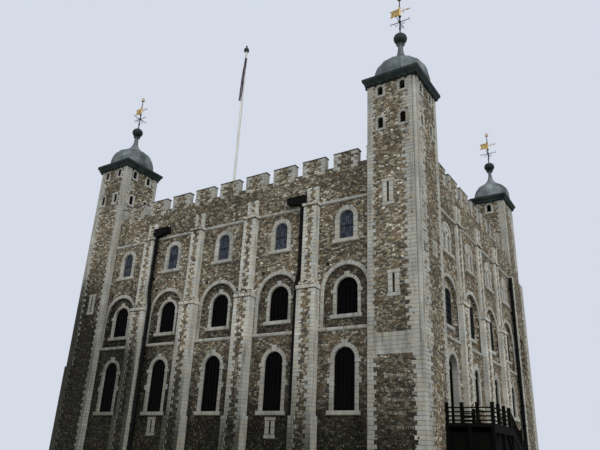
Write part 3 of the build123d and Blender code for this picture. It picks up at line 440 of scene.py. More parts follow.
def cutStones(plate, outlines, low, high, chamfer=0.02):
    # closed blocks: each outline has four (along, up) corners, counter-clockwise seen from outside; a block
    # stands from low to high, and its top ring is corner + chamfer * (unit edge ahead + unit edge behind)
    outlines = np.asarray(outlines, float)
    count = len(outlines)
    low, high = (np.broadcast_to(np.asarray(level, float), (count,)) for level in (low, high))
    ahead = np.roll(outlines, -1, axis=1) - outlines
    behind = np.roll(outlines, 1, axis=1) - outlines
    ahead /= np.linalg.norm(ahead, axis=2, keepdims=True) + 1e-9
    behind /= np.linalg.norm(behind, axis=2, keepdims=True) + 1e-9
    rings = [(outlines, low), (outlines, high - chamfer), (outlines + chamfer * (ahead + behind), high)]
    rings = [np.concatenate([flat, np.broadcast_to(out[:, None, None], (count, 4, 1))], axis=2)
             for flat, out in rings]
    points = np.concatenate(rings, axis=1)
    quads = [[3, 2, 1, 0], [8, 9, 10, 11]]
    quads += [[ring + step, ring + (step + 1) % 4, ring + 4 + (step + 1) % 4, ring + 4 + step]
              for ring in (0, 4) for step in range(4)]
    quads = (np.array(quads)[None] + 12 * np.arange(count)[:, None, None]).reshape(-1, 4)
    return onPlate(plate, points).reshape(-1, 3), [quads], [np.repeat(stoneDice.random(count), 10)]


class Facing:
    # the stones that are laid on one face
    def __init__(self, plate, shapes=None):
        self.plate, self.shapes = plate, [] if shapes is None else shapes

    def lay(self, outlines, low, high, chamfer=0.02):
        self.shapes.append(cutStones(self.plate, outlines, low, high, chamfer))


jointGap = 0.014


def span(middle, side, inner, outer):
    # the two ends of a stone that lies from inner to outer on one side of a middle
    return sorted((middle + side * inner, middle + side * outer))


def boxes(left, right, bottom, top):
    # outlines of upright rectangles from four rows of edges
    left, right, bottom, top = np.broadcast_arrays(*(np.atleast_1d(np.asarray(edge, float))
                                                     for edge in (left, right, bottom, top)))
    spots = ((left, bottom), (right, bottom), (right, top), (left, top))
    return np.stack([np.stack(spot, 1) for spot in spots], 1)


def rowOf(ends, bottom, top, gap):
    # stones end to end, with half of the gap at each of their ends
    return boxes(ends[:-1] + gap / 2, ends[1:] - gap / 2, bottom, top)


def levelsOf(bottom, top, height):
    # a stack of courses of about one height, as the bottoms and tops of its blocks
    levels = np.linspace(bottom, top, max(1, round((top - bottom) / height)) + 1)
    return levels[:-1] + jointGap / 2, levels[1:] - jointGap / 2


def courses(left, right, bottom, top, height):
    return boxes(left, right, *levelsOf(bottom, top, height))


def ringStones(middle, spring, inner, outer, count):
    # voussoirs: corner = (middle + r cos t, spring + r sin t), a half ring between two radii in equal wedges
    turns = np.linspace(0.0, pi, count + 1)
    gap = jointGap / (inner + outer)
    start, end = turns[:-1] + gap, turns[1:] - gap
    return np.stack([np.stack([middle + radius * np.cos(turn), spring + radius * np.sin(turn)], 1)
                     for radius, turn in ((inner, start), (outer, start), (outer, end), (inner, end))], 1)


def edgeStones(wall, edge, inward, bottom, top, lengths, low, high, beyond, height=0.29, avoid=()):
    # quoins on one edge: long and short blocks by turns, cut back where they would cross an opening
    blockLow, blockHigh = levelsOf(bottom, top, height)
    even = np.arange(len(blockLow)) % 2 == 0
    reach = np.where(even, *lengths) * (0.88 + 0.24 * stoneDice.random(len(even)))
    for left, right, below, above in avoid:
        nearest = min((left - edge) * inward, (right - edge) * inward)
        crossing = (blockHigh > below) & (blockLow < above)
        reach = np.where(crossing & (reach > nearest) & (nearest > 0), nearest - jointGap, reach)
    outer, inner = np.full(len(reach), edge - inward * beyond), edge + inward * reach
    wall.lay(boxes(np.minimum(outer, inner), np.maximum(outer, inner), blockLow, blockHigh), low, high, 0.015)


def bands(turns, rows, closed=False):
    # the quads between rings of points, each ring counter-clockwise seen from ahead
    start = np.arange(rows if closed else rows - 1)[:, None] * turns
    step = np.arange(turns)[None, :]
    after = (step + 1) % turns
    ahead = (start + turns) % (rows * turns)
    return np.stack([start + step, start + after, ahead + after, ahead + step], 2).reshape(-1, 4)


def lathe(profile, middle, turns=24, ribs=0, ribHeight=0.0, ribWidth=0.06, fullAt=1.0):
    # point = middle + (r cos t, r sin t, z); ribs add h * exp(-(angle to the nearest rib / width)^2) to r,
    # and less of it within the radius fullAt
    profile = np.asarray(profile, float)
    angles = np.arange(turns) * 2 * pi / turns
    swell, panel = np.zeros(turns), np.zeros(turns)
    if ribs:
        away = np.abs((angles * ribs / (2 * pi) + 0.5) % 1.0 - 0.5) * 2 * pi / ribs
        swell = ribHeight * np.exp(-(away / ribWidth) ** 2)
        panel = np.floor(angles * ribs / (2 * pi))
    radius = profile[:, 0][:, None] + swell[None, :] * np.clip(profile[:, 0][:, None] / fullAt, 0, 1)
    points = np.stack([middle[0] + radius * np.cos(angles), middle[1] + radius * np.sin(angles),
                       np.broadcast_to(middle[2] + profile[:, 1][:, None], radius.shape)], 2).reshape(-1, 3)
    step = np.arange(turns)
    caps = np.stack([step[::-1], step + (len(profile) - 1) * turns])
    tones = (np.sin(panel * 12.9898 + middle[0]) * 43758.5453) % 1.0
    return points, [bands(turns, len(profile)), caps], [np.tile(tones, len(profile) - 1), np.zeros(2)]


def tube(path, radius, normal, sides=8, closed=False):
    # point = path + radius * (cos t * normal + sin t * (tangent x normal)), normal square to the whole path
    path, normal = np.asarray(path, float), np.asarray(normal, float)
    tangent = np.roll(path, -1, 0) - np.roll(path, 1, 0) if closed else np.gradient(path, axis=0)
    tangent /= np.linalg.norm(tangent, axis=1, keepdims=True)
    across = np.cross(tangent, normal)
    radius = np.broadcast_to(np.asarray(radius, float), (len(path),))[:, None, None]
    turns = (np.arange(sides) * 2 * pi / sides)[None, :, None]
    ring = np.cos(turns) * normal + np.sin(turns) * across[:, None]
    points = (path[:, None] + radius * ring).reshape(-1, 3)
    quads = bands(sides, len(path), closed)[:, [1, 0, 3, 2]]
    polygons, tones = [quads], [np.zeros(len(quads))]
    if not closed:
        step = np.arange(sides)
        polygons.append(np.stack([step, step[::-1] + (len(path) - 1) * sides]))
        tones.append(np.zeros(2))
    return points, polygons, tones


def inPlane(origin, along, rows, radius, side, sides=6, closed=False):
    # a tube in an upright plane: path = origin + along * a + up * b, for rows of (a, b)
    rows = np.asarray(rows, float)
    return tube(origin + rows[:, 0:1] * along + rows[:, 1:2] * upward, radius, side, sides, closed)


def beam(start, end, width, height, up=upward):
    # a squared timber from start to end: corner = end or start +- width/2 * side +- height/2 * top
    start, end, up = (np.asarray(some, float) for some in (start, end, up))
    run = (end - start) / np.linalg.norm(end - start)
    side = np.cross(run, up)
    side /= np.linalg.norm(side)
    top = np.cross(side, run)
    points = np.array([place + side * width / 2 * across + top * height / 2 * rise
                       for place in (start, end) for across, rise in ((-1, -1), (1, -1), (1, 1), (-1, 1))])
    quads = np.array([[0, 1, 2, 3], [7, 6, 5, 4], [0, 4, 5, 1], [1, 5, 6, 2], [2, 6, 7, 3], [3, 7, 4, 0]])
    return points, [quads], [np.full(6, stoneDice.random())]


def sheetPlate(outline, thickness, origin, along):
    # an upright plate: point = origin + along * a + up * b +- normal * thickness / 2, for rows of (a, b)
    outline = np.asarray(outline, float)
    normal = np.cross(along, upward)
    flat = origin + outline[:, 0:1] * along + outline[:, 1:2] * upward
    count = len(outline)
    points = np.concatenate([flat + normal * thickness / 2, flat - normal * thickness / 2])
    step = np.arange(count)
    after = (step + 1) % count
    sides = np.stack([after, step, step + count, after + count], 1)
    return points, [sides, np.stack([step, step[::-1] + count])], [np.zeros(count), np.zeros(2)]


def smoothLine(spots, count):
    # a Catmull-Rom curve through the given rows
    spots = np.asarray(spots, float)
    padded = np.concatenate([2 * spots[:1] - spots[1:2], spots, 2 * spots[-1:] - spots[-2:-1]])
    place = np.linspace(0, len(spots) - 1 - 1e-9, count)
    index = place.astype(int)
    t = (place - index)[:, None]
    a, b, c, d = (padded[index + step] for step in range(4))
    square, cube = 2 * a - 5 * b + 4 * c - d, 3 * b - a - 3 * c + d
    return 0.5 * (2 * b + (c - a) * t + square * t ** 2 + cube * t ** 3)


sideWindow = {"width": 1.2, "sill": 7.6, "crown": 10.4, "band": 0.3, "seat": 0.0, "imposts": True,
              "ears": None, "wedges": 11, "glass": 0.1, "bars": 2, "rails": 0.5}
windowRows = {
    "low": dict(sideWindow, width=1.7, sill=6.25, crown=10.55, band=0.29, ears=8.05, wedges=13, glass=0.14,
                bars=4, rails=0.52),
    "middle": dict(sideWindow, width=1.8, sill=12.88, crown=15.67, band=0.24, seat=0.25, wedges=13,
                   glass=0.39, bars=4),
    "top": dict(sideWindow, width=1.24, sill=18.58, crown=20.94, band=0.36, imposts=False, glass=0.14,
                bars=0, rails=1.12),
    "sideLow": sideWindow,
    "sideMiddle": dict(sideWindow, sill=12.88, crown=15.67, seat=0.25),
    "door": dict(sideWindow, width=1.95, sill=5.7, crown=10.7, band=0.34, wedges=13, glass=0.4, bars=0,
                 rails=0.0),
}
windowTrim = {"proud": 0.05, "sillProud": 0.2, "impostProud": 0.1, "sill": 0.28, "sillOver": 0.14,
              "impost": 0.28, "impostOver": 0.15, "key": (0.1764, 0.231), "keyRise": 0.18, "course": 0.42,
              "inset": 0.012, "ear": 0.2, "bed": -0.06, "barSize": 0.035, "barGap": 0.02}


def sillStone(wall, middle, half, sill, low, high):
    reach = half + windowTrim["sillOver"]
    wall.lay(boxes(middle - reach, middle + reach, sill - windowTrim["sill"], sill + 0.01), low, high, 0.04)


def windowStones(wall, row, bay):
    # one window's dressed stone: jambs in courses, a ring of wedges, sill and imposts as deep as the glass,
    # so that they line the opening, and a keystone and ears on the face
    window, trim = windowRows[row], windowTrim
    half, seat, crown, ears = window["width"] / 2, window["seat"], window["crown"], window["ears"]
    spring, inner, outer = crown - half, half - trim["inset"], half + window["band"]
    low, proud = 0.005 - max(window["glass"], seat + 0.03), trim["proud"] - seat
    back, imposts, impostFoot = -0.05 - seat, trim["impostProud"] - seat, spring - trim["impost"]
    for side in (-1, 1):
        top = impostFoot if window["imposts"] else spring
        wall.lay(courses(*span(bay, side, inner, outer), window["sill"], top, trim["course"]), low, proud)
        if window["imposts"]:
            ends = span(bay, side, inner, outer + trim["impostOver"])
            wall.lay(boxes(*ends, impostFoot, spring), low, imposts, 0.03)
        if ears:
            ends = span(bay, side, outer, outer + trim["ear"])
            wall.lay(boxes(*ends, ears, ears + 2 * trim["ear"]), back, proud)
    wall.lay(ringStones(bay, spring, inner, outer, window["wedges"]), low, proud)
    if window["imposts"]:
        foot, head = trim["key"]
        keyLow, keyHigh = crown - 0.02, crown + window["band"] + trim["keyRise"]
        keystone = [(bay - foot, keyLow), (bay + foot, keyLow), (bay + head, keyHigh), (bay - head, keyHigh)]
        wall.lay([keystone], back, imposts, 0.03)
    if row != "door":
        sillStone(wall, bay, outer, window["sill"], low, trim["sillProud"] - seat)


def grille(wall, middle, opening, size, low):
    # iron bars: rails, which are 2 sqrt(r^2 - z^2) wide above the spring, and uprights to
    # spring + sqrt(r^2 - x^2)
    half = opening["width"] / 2 - 0.02
    spring = opening["crown"] - opening["width"] / 2
    heights = np.arange(opening["sill"] + opening["rails"], opening["crown"] - 4 * size, opening["rails"])
    reach = np.sqrt(half ** 2 - np.clip(heights - spring, 0, None) ** 2)
    wall.lay(boxes(middle - reach, middle + reach, heights - size / 2, heights + size / 2), low - size / 2,
             low + size / 2, 0.005)
    if opening["bars"]:
        across = np.linspace(-half, half, opening["bars"] + 2)[1:-1]
        tops = spring + np.sqrt(half ** 2 - across ** 2)
        wall.lay(boxes(middle + across - size / 2, middle + across + size / 2, opening["sill"], tops), low,
                 low + size, 0.005)


lights = {"width": 0.5, "spacing": 0.9, "sill": 18.58, "crown": 20.1, "panel": 2.1, "panelCrown": 21.1,
          "depth": -0.27, "ring": 0.3, "course": 0.36, "panelWedges": 13, "lightWedges": 7,
          # blocks that fill the panel's head, and how far over the lights they start
          "infill": 6, "over": 0.2}


def lightStones(wall, bay):
    # the paired lights: a round-headed panel of dressed stone with two narrow openings
    half, opening, apart = lights["panel"] / 2, lights["width"] / 2, lights["spacing"] / 2
    spring, lightSpring = lights["panelCrown"] - half, lights["crown"] - opening
    low, proud, inset, bed = lights["depth"], windowTrim["proud"], windowTrim["inset"], windowTrim["bed"]
    jambs = ((-half, -apart - opening), (-apart + opening, apart - opening), (apart + opening, half))
    for left, right in jambs:
        ends = (bay + left - inset * (left > -half), bay + right + inset * (right < half))
        wall.lay(courses(*ends, lights["sill"], lightSpring, lights["course"]), low, proud)
    for place in (-apart, apart):
        ring = ringStones(bay + place, lightSpring, opening - inset, apart - 0.01, lights["lightWedges"])
        wall.lay(ring, low, proud)
    inner = half - lights["ring"]
    wall.lay(ringStones(bay, spring, inner, half, lights["panelWedges"]), bed, proud + 0.03)
    edge = np.linspace(-inner, inner, lights["infill"] + 1)
    top = spring + np.sqrt(inner ** 2 - ((edge[:-1] + edge[1:]) / 2) ** 2)
    wall.lay(rowOf(bay + edge, lights["crown"] + lights["over"], top, inset), bed, proud - 0.01)
    sillStone(wall, bay, half, lights["sill"], low, windowTrim["sillProud"])


slitFrame = {"width": 0.84, "margin": 0.27, "slit": 0.17, "over": 0.06, "course": 0.4, "clear": (0.5, 0.3)}
slits = {"near": {"front": [(-0.37, 20.67, 1.61), (-0.04, 13.87, 1.36)], "right": [(0.5, 17.17, 0.66)]},
         "left": {"front": [(0.25, 15.47, 1.46)]},
         "wall": [(-5.98, 4.66, 0.95), (5.98, 4.66, 0.95)]}


def slitStones(wall, middle, base, height):
    # a frame of blocks round a slit, with a lintel and a sill block
    half, margin = slitFrame["width"] / 2, slitFrame["margin"]
    bed, proud = windowTrim["bed"], windowTrim["proud"]
    for side in (-1, 1):
        ends = span(middle, side, slitFrame["slit"] / 2, half)
        wall.lay(courses(*ends, base, base + height, slitFrame["course"]), bed, proud)
    reach = half + slitFrame["over"]
    for bottom in (base - margin, base + height):
        wall.lay(boxes(middle - reach, middle + reach, bottom + 0.01, bottom + margin - 0.01), bed, proud)


frontRows = [(row, bay) for row in ("low", "middle", "top") for bay in plan["frontBays"]]
sideLows, sideMiddles = ([(row, bay) for bay in plan["sideBays"]] for row in ("sideLow", "sideMiddle"))
sideWindows = {"front": frontRows, "right": [("door", plan["sideBays"][0])] + sideLows[1:] + sideMiddles,
               "back": frontRows, "left": sideLows + sideMiddles}
bars = []
for side, plate in faces.items():
    wall = Facing(plate)
    for row, bay in sideWindows[side]:
        windowStones(wall, row, bay)
        if windowRows[row]["rails"]:
            grille(Facing(plate, bars), bay, windowRows[row], windowTrim["barSize"],
                   windowTrim["barGap"] - windowRows[row]["glass"])
    if side in ("right", "left"):
        for bay in plan["sideBays"]:
            lightStones(wall, bay)
    else:
        for slit in slits["wall"]:
            slitStones(wall, *slit)
    makePiece(f"{side}WindowStones", wall.shapes, "blocks", f"{side}_window_surrounds")
makePiece("windowGrilles", bars, "grille")
print("keep: window stones and grilles cut")

blindArch = {"radius": 1.78, "ring": 0.3, "crown": 16.55, "foot": 11.96, "proud": 0.05, "wedges": 19,
             "course": 0.45}
blindArch["spring"] = blindArch["crown"] - blindArch["radius"]
blindArch["outer"] = blindArch["radius"] + blindArch["ring"]
strings = {"low": (11.7, 11.96), "eaves": (21.7, 21.95), "bed": -0.05, "proud": 0.12, "slope": 0.07,
           "block": 0.95, "joint": 0.008}
pilaster = {"frontDepth": 0.65, "sideDepth": 0.36, "wrap": 1.4, "proud": 0.022, "bed": -0.03, "flush": 0.018,
            # width, bottom, top, how far past the pilaster's face, and the two lengths of block of each stage
            "stages": [(1.86, 0.0, 5.9, 0.14, (0.6, 0.42)), (1.58, 5.9, 14.9, 0.0, (0.55, 0.36)),
                       (1.16, 15.5, 21.7, -0.18, (0.42, 0.26))],
            # width, bottom, top, how far past the pilaster's face, and chamfer of each ledge
            "ledges": [(1.86, 5.7, 5.91, 0.14, 0.1), (1.74, 14.9, 15.2, 0.08, 0.05),
                       (1.5, 15.2, 15.51, -0.1, 0.12), (1.4, 21.7, 21.96, -0.06, 0.07)],
            # half width, bottom, top, lengths and height of the strip above the eaves
            "strip": (0.5, 21.97, 23.4, (0.4, 0.26), 0.22)}


def halfway(places):
    return [(first + second) / 2 for first, second in zip(places, places[1:])]


def sideSizes(side):
    # bays, half the run of wall, and pilaster depth of one side
    if side in ("front", "back"):
        return plan["frontBays"], plan["frontRun"], pilaster["frontDepth"]
    return plan["sideBays"], plan["sideRun"], pilaster["sideDepth"]


for side, plate in faces.items():
    bays, run, depth = sideSizes(side)
    wall, inner, outer, spring = Facing(plate), blindArch["radius"], blindArch["outer"], blindArch["spring"]
    bed, proud = windowTrim["bed"], blindArch["proud"]
    for bay in bays:
        wall.lay(ringStones(bay, spring, inner, outer, blindArch["wedges"]), bed, proud)
        for sign in (-1, 1):
            strip = courses(*span(bay, sign, inner, outer), blindArch["foot"], spring, blindArch["course"])
            wall.lay(strip, bed, proud)
    for key, halfGap in (("low", pilaster["stages"][1][0] / 2), ("eaves", pilaster["wrap"] / 2)):
        stops = [place + sign * halfGap for place in halfway(bays) for sign in (-1, 1)]
        for start, end in zip([-run] + stops[1::2], stops[::2] + [run]):
            ends = np.linspace(start, end, max(1, round((end - start) / strings["block"])) + 1)
            row = rowOf(ends, *strings[key], strings["joint"])
            wall.lay(row, strings["bed"], strings["proud"], strings["slope"])
    makePiece(f"{side}ArchStones", wall.shapes, "blocks", f"{side}_arches_and_strings")
    wall, proud, bed = Facing(plate), pilaster["proud"], pilaster["bed"]
    for place in halfway(bays):
        for width, bottom, top, extra, lengths in pilaster["stages"]:
            # at the back the stones of the pilasters' foot are let in, to keep the keep's outer size
            high = depth + extra + proud - pilaster["flush"] * (side == "back" and extra > 0)
            for sign in (-1, 1):
                edge = place + sign * width / 2
                edgeStones(wall, edge, -sign, bottom, top, lengths[::sign], bed, high, proud)
        for width, bottom, top, extra, slope in pilaster["ledges"]:
            ends = np.linspace(place - width / 2 - 0.015, place + width / 2 + 0.015, 4)
            high = depth + extra + 0.02 - pilaster["flush"] * (side == "back" and extra > 0.1)
            wall.lay(rowOf(ends, bottom, top, strings["joint"]), bed, high, slope)
        half, bottom, top, lengths, high = pilaster["strip"]
        for sign in (-1, 1):
            edgeStones(wall, place + sign * half, -sign, bottom, top, lengths[::sign], bed, high, 0.02)
    makePiece(f"{side}PilasterStones", wall.shapes, "piers")
print("keep: arches, strings and pilasters cut")

merlon = {"pitch": 2.95, "width": 2.13, "sill": 24.78, "top": 25.97, "thickness": 0.5, "wall": 0.8,
          "least": 0.3, "coping": 0.09, "over": 0.05, "ends": (0.62, 0.36),
          "reach": {"front": (-14.0, 14.0), "right": (-10.65, 11.0), "back": (-14.5, 14.5),
                    "left": (-11.0, 10.65)}}
merlonSteps = np.arange(-5, 6) * merlon["pitch"]
for side, plate in faces.items():
    start, end = merlon["reach"][side]
    left = np.maximum(start, merlonSteps - merlon["width"] / 2)
    right = np.minimum(end, merlonSteps + merlon["width"] / 2)
    kept = right - left > merlon["least"]
    left, right = left[kept], right[kept]
    back, over, top, sill = -merlon["thickness"], merlon["over"], merlon["top"], merlon["sill"]
    wall = Facing(plate)
    copings = boxes(np.maximum(left - over, start), np.minimum(right + over, end), top - 0.01,
                    top + merlon["coping"])
    wall.lay(copings, back - over, over, 0.03)
    sills = boxes(right[:-1] + over, left[1:] - over, sill - 0.01, sill + 0.05)
    wall.lay(sills, over / 2 - merlon["wall"], over / 2)
    ledge = rowOf(np.linspace(start, end, 17), sill - 0.01, sill + 0.046, 0.01)
    wall.lay(ledge, -merlon["wall"] - over, back - over)
    quoins = Facing(plate)
    for edges in zip(left, right):
        for edge, inward in zip(edges, (1, -1)):
            if start + 0.1 < edge < end - 0.1:
                edgeStones(quoins, edge, inward, sill - 0.3, top - 0.02, merlon["ends"], back - 0.01, 0.02,
                           0.012)
    makePiece(f"{side}MerlonCopings", wall.shapes, "coping")
    makePiece(f"{side}MerlonEnds", quoins.shapes, "blocks")
print("keep: battlements coped")


def turretBeds(corner):
    # the faces of one turret: the two outer ones start at the ground and the others at the roof; at the
    # back the shaft below the eaves is larger than the turret over it, and its outer faces are beds of
    # their own
    sides = corners[corner]
    shaft = (sides[0] * plan["turretX"], sides[1] * plan["turretY"], plan["turretHalfX"], plan["turretHalfY"])
    beds = []
    for key, face in faces.items():
        axis = int(key in ("front", "back"))  # the one that the face looks along
        sign = face["outward"][axis]
        outer, behind = sign == sides[axis], sides[1] > 0
        bodies = [(turretBox(corner), plan["wallTop"] if behind or not outer else 0.0, plan["turretTop"])]
        if outer and behind:
            bodies.append((shaft, 0.0, plan["eaves"]))
        for box, bottom, top in bodies:
            middle = [0.0, 0.0, 0.0]
            middle[1 - axis] = box[1 - axis]
            beds.append({"plate": dict(face, middle=middle, distance=sign * box[axis] + box[2 + axis]),
                         "half": box[3 - axis], "outer": outer, "bottom": bottom, "top": top, "deep": axis,
                         "key": key, "outerEnd": sides[1 - axis] * sum(face["along"])})
    return beds


turretTrim = {"course": 0.28, "proud": 0.025, "nook": 0.32, "nookBase": 10.4, "holeBand": 0.2,
              "holeDepth": -0.3, "outerLengths": ((1.25, 1.02), (0.85, 0.62)), "innerLengths": (0.62, 0.44),
              "shaftCourse": 0.42, "band": (9.75, 11.2), "bandCourse": 0.29, "bandBlock": 0.55,
              "returnEnd": 0.055, "holeSill": 0.2, "rubbleEnds": 0.45,
              # radii of a drum at its joints and between them, and its middle out from the nook's corner
              "shaft": (0.154, 0.16), "shaftOut": 0.135,
              # height and number of stones in each pale row, and their pitch, half width and height
              "paleRows": [(9.2, 4), (8.25, 6), (7.35, 6), (6.75, 7), (5.95, 5), (5.1, 6)],
              "paleStone": (0.33, 0.13, 0.22)}
holes = {-1: {"width": 0.46, "places": (-0.925, 0.925), "rows": ((26.95, 27.95), (29.95, 30.8))},
         1: {"width": 0.5, "places": (0.0,), "rows": ((29.8, 30.7),)}}
lattice = {"bars": 5, "rails": 0.1, "size": 0.022, "depth": -0.08}
rubbleBeds, slitShapes, paleStones, latticeBars = [], [], [], []


def holeStones(wall, kind):
    # a band of stone and a lattice round each small hole; gives the boxes that other stones avoid
    half, band, depth = kind["width"] / 2, turretTrim["holeBand"], turretTrim["holeDepth"]
    avoid = []
    for place in kind["places"]:
        for sill, crown in kind["rows"]:
            foot = sill - turretTrim["holeSill"]
            box = (place - half - band, place + half + band, foot - 0.02, crown + band)
            avoid.append(box)
            for side in (-1, 1):
                ends = span(place, side, half - 0.01, half + band)
                wall.lay(courses(*ends, sill, crown - half, turretTrim["course"]), depth, 0.02)
            wall.lay(ringStones(place, crown - half, half - 0.01, half + band, 5), depth, 0.02)
            wall.lay(boxes(*box[:2], foot, sill + 0.005), depth, 0.04)
            opening = dict(lattice, width=kind["width"], sill=sill, crown=crown)
            grille(Facing(wall.plate, latticeBars), place, opening, lattice["size"], lattice["depth"])
    return avoid


def paleBand(wall, half, proud):
    # a band of dressed blocks round the near turret's front and scattered pale stones below it
    keepOut = [(-half, half, *turretTrim["band"])]
    for low, high in zip(*levelsOf(*turretTrim["band"], turretTrim["bandCourse"])):
        starts = np.arange(-half + 0.4 + 0.5 * stoneDice.random(), half - 0.4, turretTrim["bandBlock"])
        ends = np.concatenate([[-half + 0.35], starts, [half - 0.5]])
        wall.lay(rowOf(ends, low, high, 0.012), -0.04, proud - 0.012, 0.012)
    pitch, reach, height = turretTrim["paleStone"]
    for row, (level, count) in enumerate(turretTrim["paleRows"]):
        middles = (0.3 * (row % 2) - 0.15) + pitch * (np.arange(count) - (count - 1) / 2)
        block = boxes(middles - reach, middles + reach, level, level + height)
        block += stoneDice.uniform(-0.02, 0.02, block.shape)
        pale = cutStones(wall.plate, block, -0.04, 0.03)
        pale[2][0] = np.full(10 * count, 1.0)
        paleStones.append(pale)
        keepOut.append((middles[0] - 0.15, middles[-1] + 0.15, level - 0.02, level + height + 0.02))
    return keepOut


for corner, (sideX, sideY) in corners.items():
    shapes, nookIn = [], turretTrim["nook"]
    for bed in turretBeds(corner):
        wall, half = Facing(bed["plate"], shapes), bed["half"]
        proud = turretTrim["proud"] + 0.004 * bed["deep"]
        avoid = holeStones(wall, holes[sideY]) if bed["top"] == plan["turretTop"] else []
        keepOut = []
        for place, base, height in slits.get(corner, {}).get(bed["key"], []):
            slitStones(Facing(bed["plate"], slitShapes), place, base, height)
            beside, above = slitFrame["clear"]
            keepOut.append((place - beside, place + beside, base - above, base + height + above))
        for end in (-1, 1):
            outerEnd = end == bed["outerEnd"]
            lengths = turretTrim["outerLengths"][bed["deep"]] if outerEnd else turretTrim["innerLengths"]
            nook = bed["outer"] and outerEnd and sideY < 0
            runs = [(bed["bottom"], bed["top"], 0.0)]
            if nook:
                runs = [(0.0, turretTrim["nookBase"], 0.0), (turretTrim["nookBase"], bed["top"], nookIn)]
            for bottom, top, inset in runs:
                edgeStones(wall, end * (half - inset), -end, bottom, top, lengths, -0.05, proud,
                           0.0 if inset else proud, turretTrim["course"], avoid)
            if nook:
                ends = span(0.0, end, half - nookIn - 0.01, half)
                stack = courses(*ends, turretTrim["nookBase"], bed["top"], turretTrim["course"])
                wall.lay(stack, -nookIn - 0.05, -nookIn + 0.012, 0.01)
        if corner == "near" and bed["key"] == "front":
            keepOut += paleBand(wall, half, proud)
        reach = half - turretTrim["rubbleEnds"]
        rubbleBeds.append({"plate": bed["plate"], "ends": (-reach, reach),
                           "bottom": bed["bottom"], "top": bed["top"] - 0.05,
                           "boxes": avoid + keepOut, "rounds": [], "group": corner + "Turret"})
    if sideY < 0:
        # nook shaft: drums of stone with a fine joint between them
        lows, highs = levelsOf(turretTrim["nookBase"], plan["turretTop"], turretTrim["shaftCourse"])
        joint, drum = turretTrim["shaft"]
        profile = np.stack([np.tile([joint, drum, drum, joint], len(lows)),
                            np.stack([lows, lows + 0.02, highs - 0.02, highs], 1).ravel()], 1)
        middle = (sideX * (plan["turretX"] + plan["turretHalfX"] - nookIn + turretTrim["shaftOut"]),
                  sideY * (plan["turretY"] + plan["turretHalfY"] - nookIn + turretTrim["shaftOut"]), 0.0)
        shaft = lathe(profile, middle, 16)
        shaft[2][0] = np.repeat(stoneDice.random(len(lows)), 4 * 16)[:-16]
        shapes.append(shaft)
    # the narrow sides on which the turret stands out from the two walls, faced with courses
    reachX, reachY = (plan[f"turret{axis}"] + plan[f"turretHalf{axis}"] - turretTrim["returnEnd"]
                      for axis in "XY")
    for key, distance, ends in (
            ("right" if sideX < 0 else "left", plan["turretHalfX"] - plan["turretX"],
             span(0.0, sideY, plan["halfDepth"], reachY)),
            ("back" if sideY < 0 else "front", plan["turretHalfY"] - plan["turretY"],
             span(0.0, sideX, plan["halfWidth"], reachX))):
        ends = sorted(sum(faces[key]["along"]) * end for end in ends)
        stack = courses(*ends, 0.0, plan["wallTop"] if sideY < 0 else plan["eaves"], turretTrim["course"])
        Facing(dict(faces[key], distance=distance), shapes).lay(stack, -0.05, 0.02, 0.012)
    makePiece(f"{corner}TurretQuoins", shapes, "blocks")
makePiece("turretLattices", latticeBars, "grille")
makePiece("turretSlitStones", slitShapes, "blocks", "turret_slit_frames")
print("keep: turret quoins cut")

rubbleStone = {"height": (0.13, 0.22), "width": (0.16, 0.38), "share": 0.42, "proud": (0.012, 0.04),
               "jitter": 0.016, "gap": 0.024, "chamfer": 0.024, "bed": -0.04,
               # bottoms and tops of the walls and of the merlons
               "levels": ((0.0, 24.7), (24.78, 25.9))}
# what the rubble leaves clear, by half width, bottom and top, or by how far past the window's own stones
clearing = {"pilasters": (1.0, 0.0, 23.5), "archFoot": 11.6, "slits": (0.55, 4.3, 5.95),
            "putlogs": (0.2, 16.6, 17.0), "putlogAt": 1.55, "troughs": (2.5, 21.95, 22.85),
            "lights": (1.3, 18.25, 20.05), "lightsRound": 1.1, "merlonGaps": (0.35, 24.78, 26.0),
            "besideJambs": 0.16, "besideImposts": 0.22, "underSill": 0.32, "ring": 0.03}


def around(places, half, bottom, top):
    # boxes that the rubble leaves clear, as left, right, bottom and top
    return [(place - half, place + half, bottom, top) for place in places]


for side, plate in faces.items():
    bays, run, depth = sideSizes(side)
    spring, clear = blindArch["spring"], blindArch["outer"]
    keepOut = around(halfway(bays), *clearing["pilasters"])
    keepOut += around(bays, clear, clearing["archFoot"], spring)
    for low, high in (strings["low"], strings["eaves"]):
        keepOut += around([0.0], run, low - 0.02, high + 0.02)
    rounds = [(bay, spring, clear + 0.05) for bay in bays]
    if side in ("front", "back"):
        # slits, putlog holes and troughs
        keepOut += around(bays[1:4:2], *clearing["slits"])
        keepOut += around(np.array(bays) - clearing["putlogAt"], *clearing["putlogs"])
        keepOut += around(halfway(bays)[::3], *clearing["troughs"])
    else:
        keepOut += around(bays, *clearing["lights"])
        rounds += [(bay, clearing["lights"][2], clearing["lightsRound"]) for bay in bays]
    for row, bay in sideWindows[side]:
        window = windowRows[row]
        if window["seat"] == 0.0:
            half, top = window["width"] / 2, window["crown"] - window["width"] / 2
            reach = half + window["band"] + clearing["besideImposts" if window["imposts"] else "besideJambs"]
            keepOut += around([bay], reach, window["sill"] - clearing["underSill"], top)
            rounds.append((bay, top, half + window["band"] + clearing["ring"]))
    gaps = around(merlonSteps - merlon["pitch"] / 2, *clearing["merlonGaps"])
    for (bottom, top), clearBoxes, clearRounds in zip(rubbleStone["levels"], (keepOut, gaps), (rounds, [])):
        rubbleBeds.append({"plate": plate, "ends": (-run, run), "bottom": bottom, "top": top,
                           "boxes": clearBoxes, "rounds": clearRounds, "group": side + "Wall"})


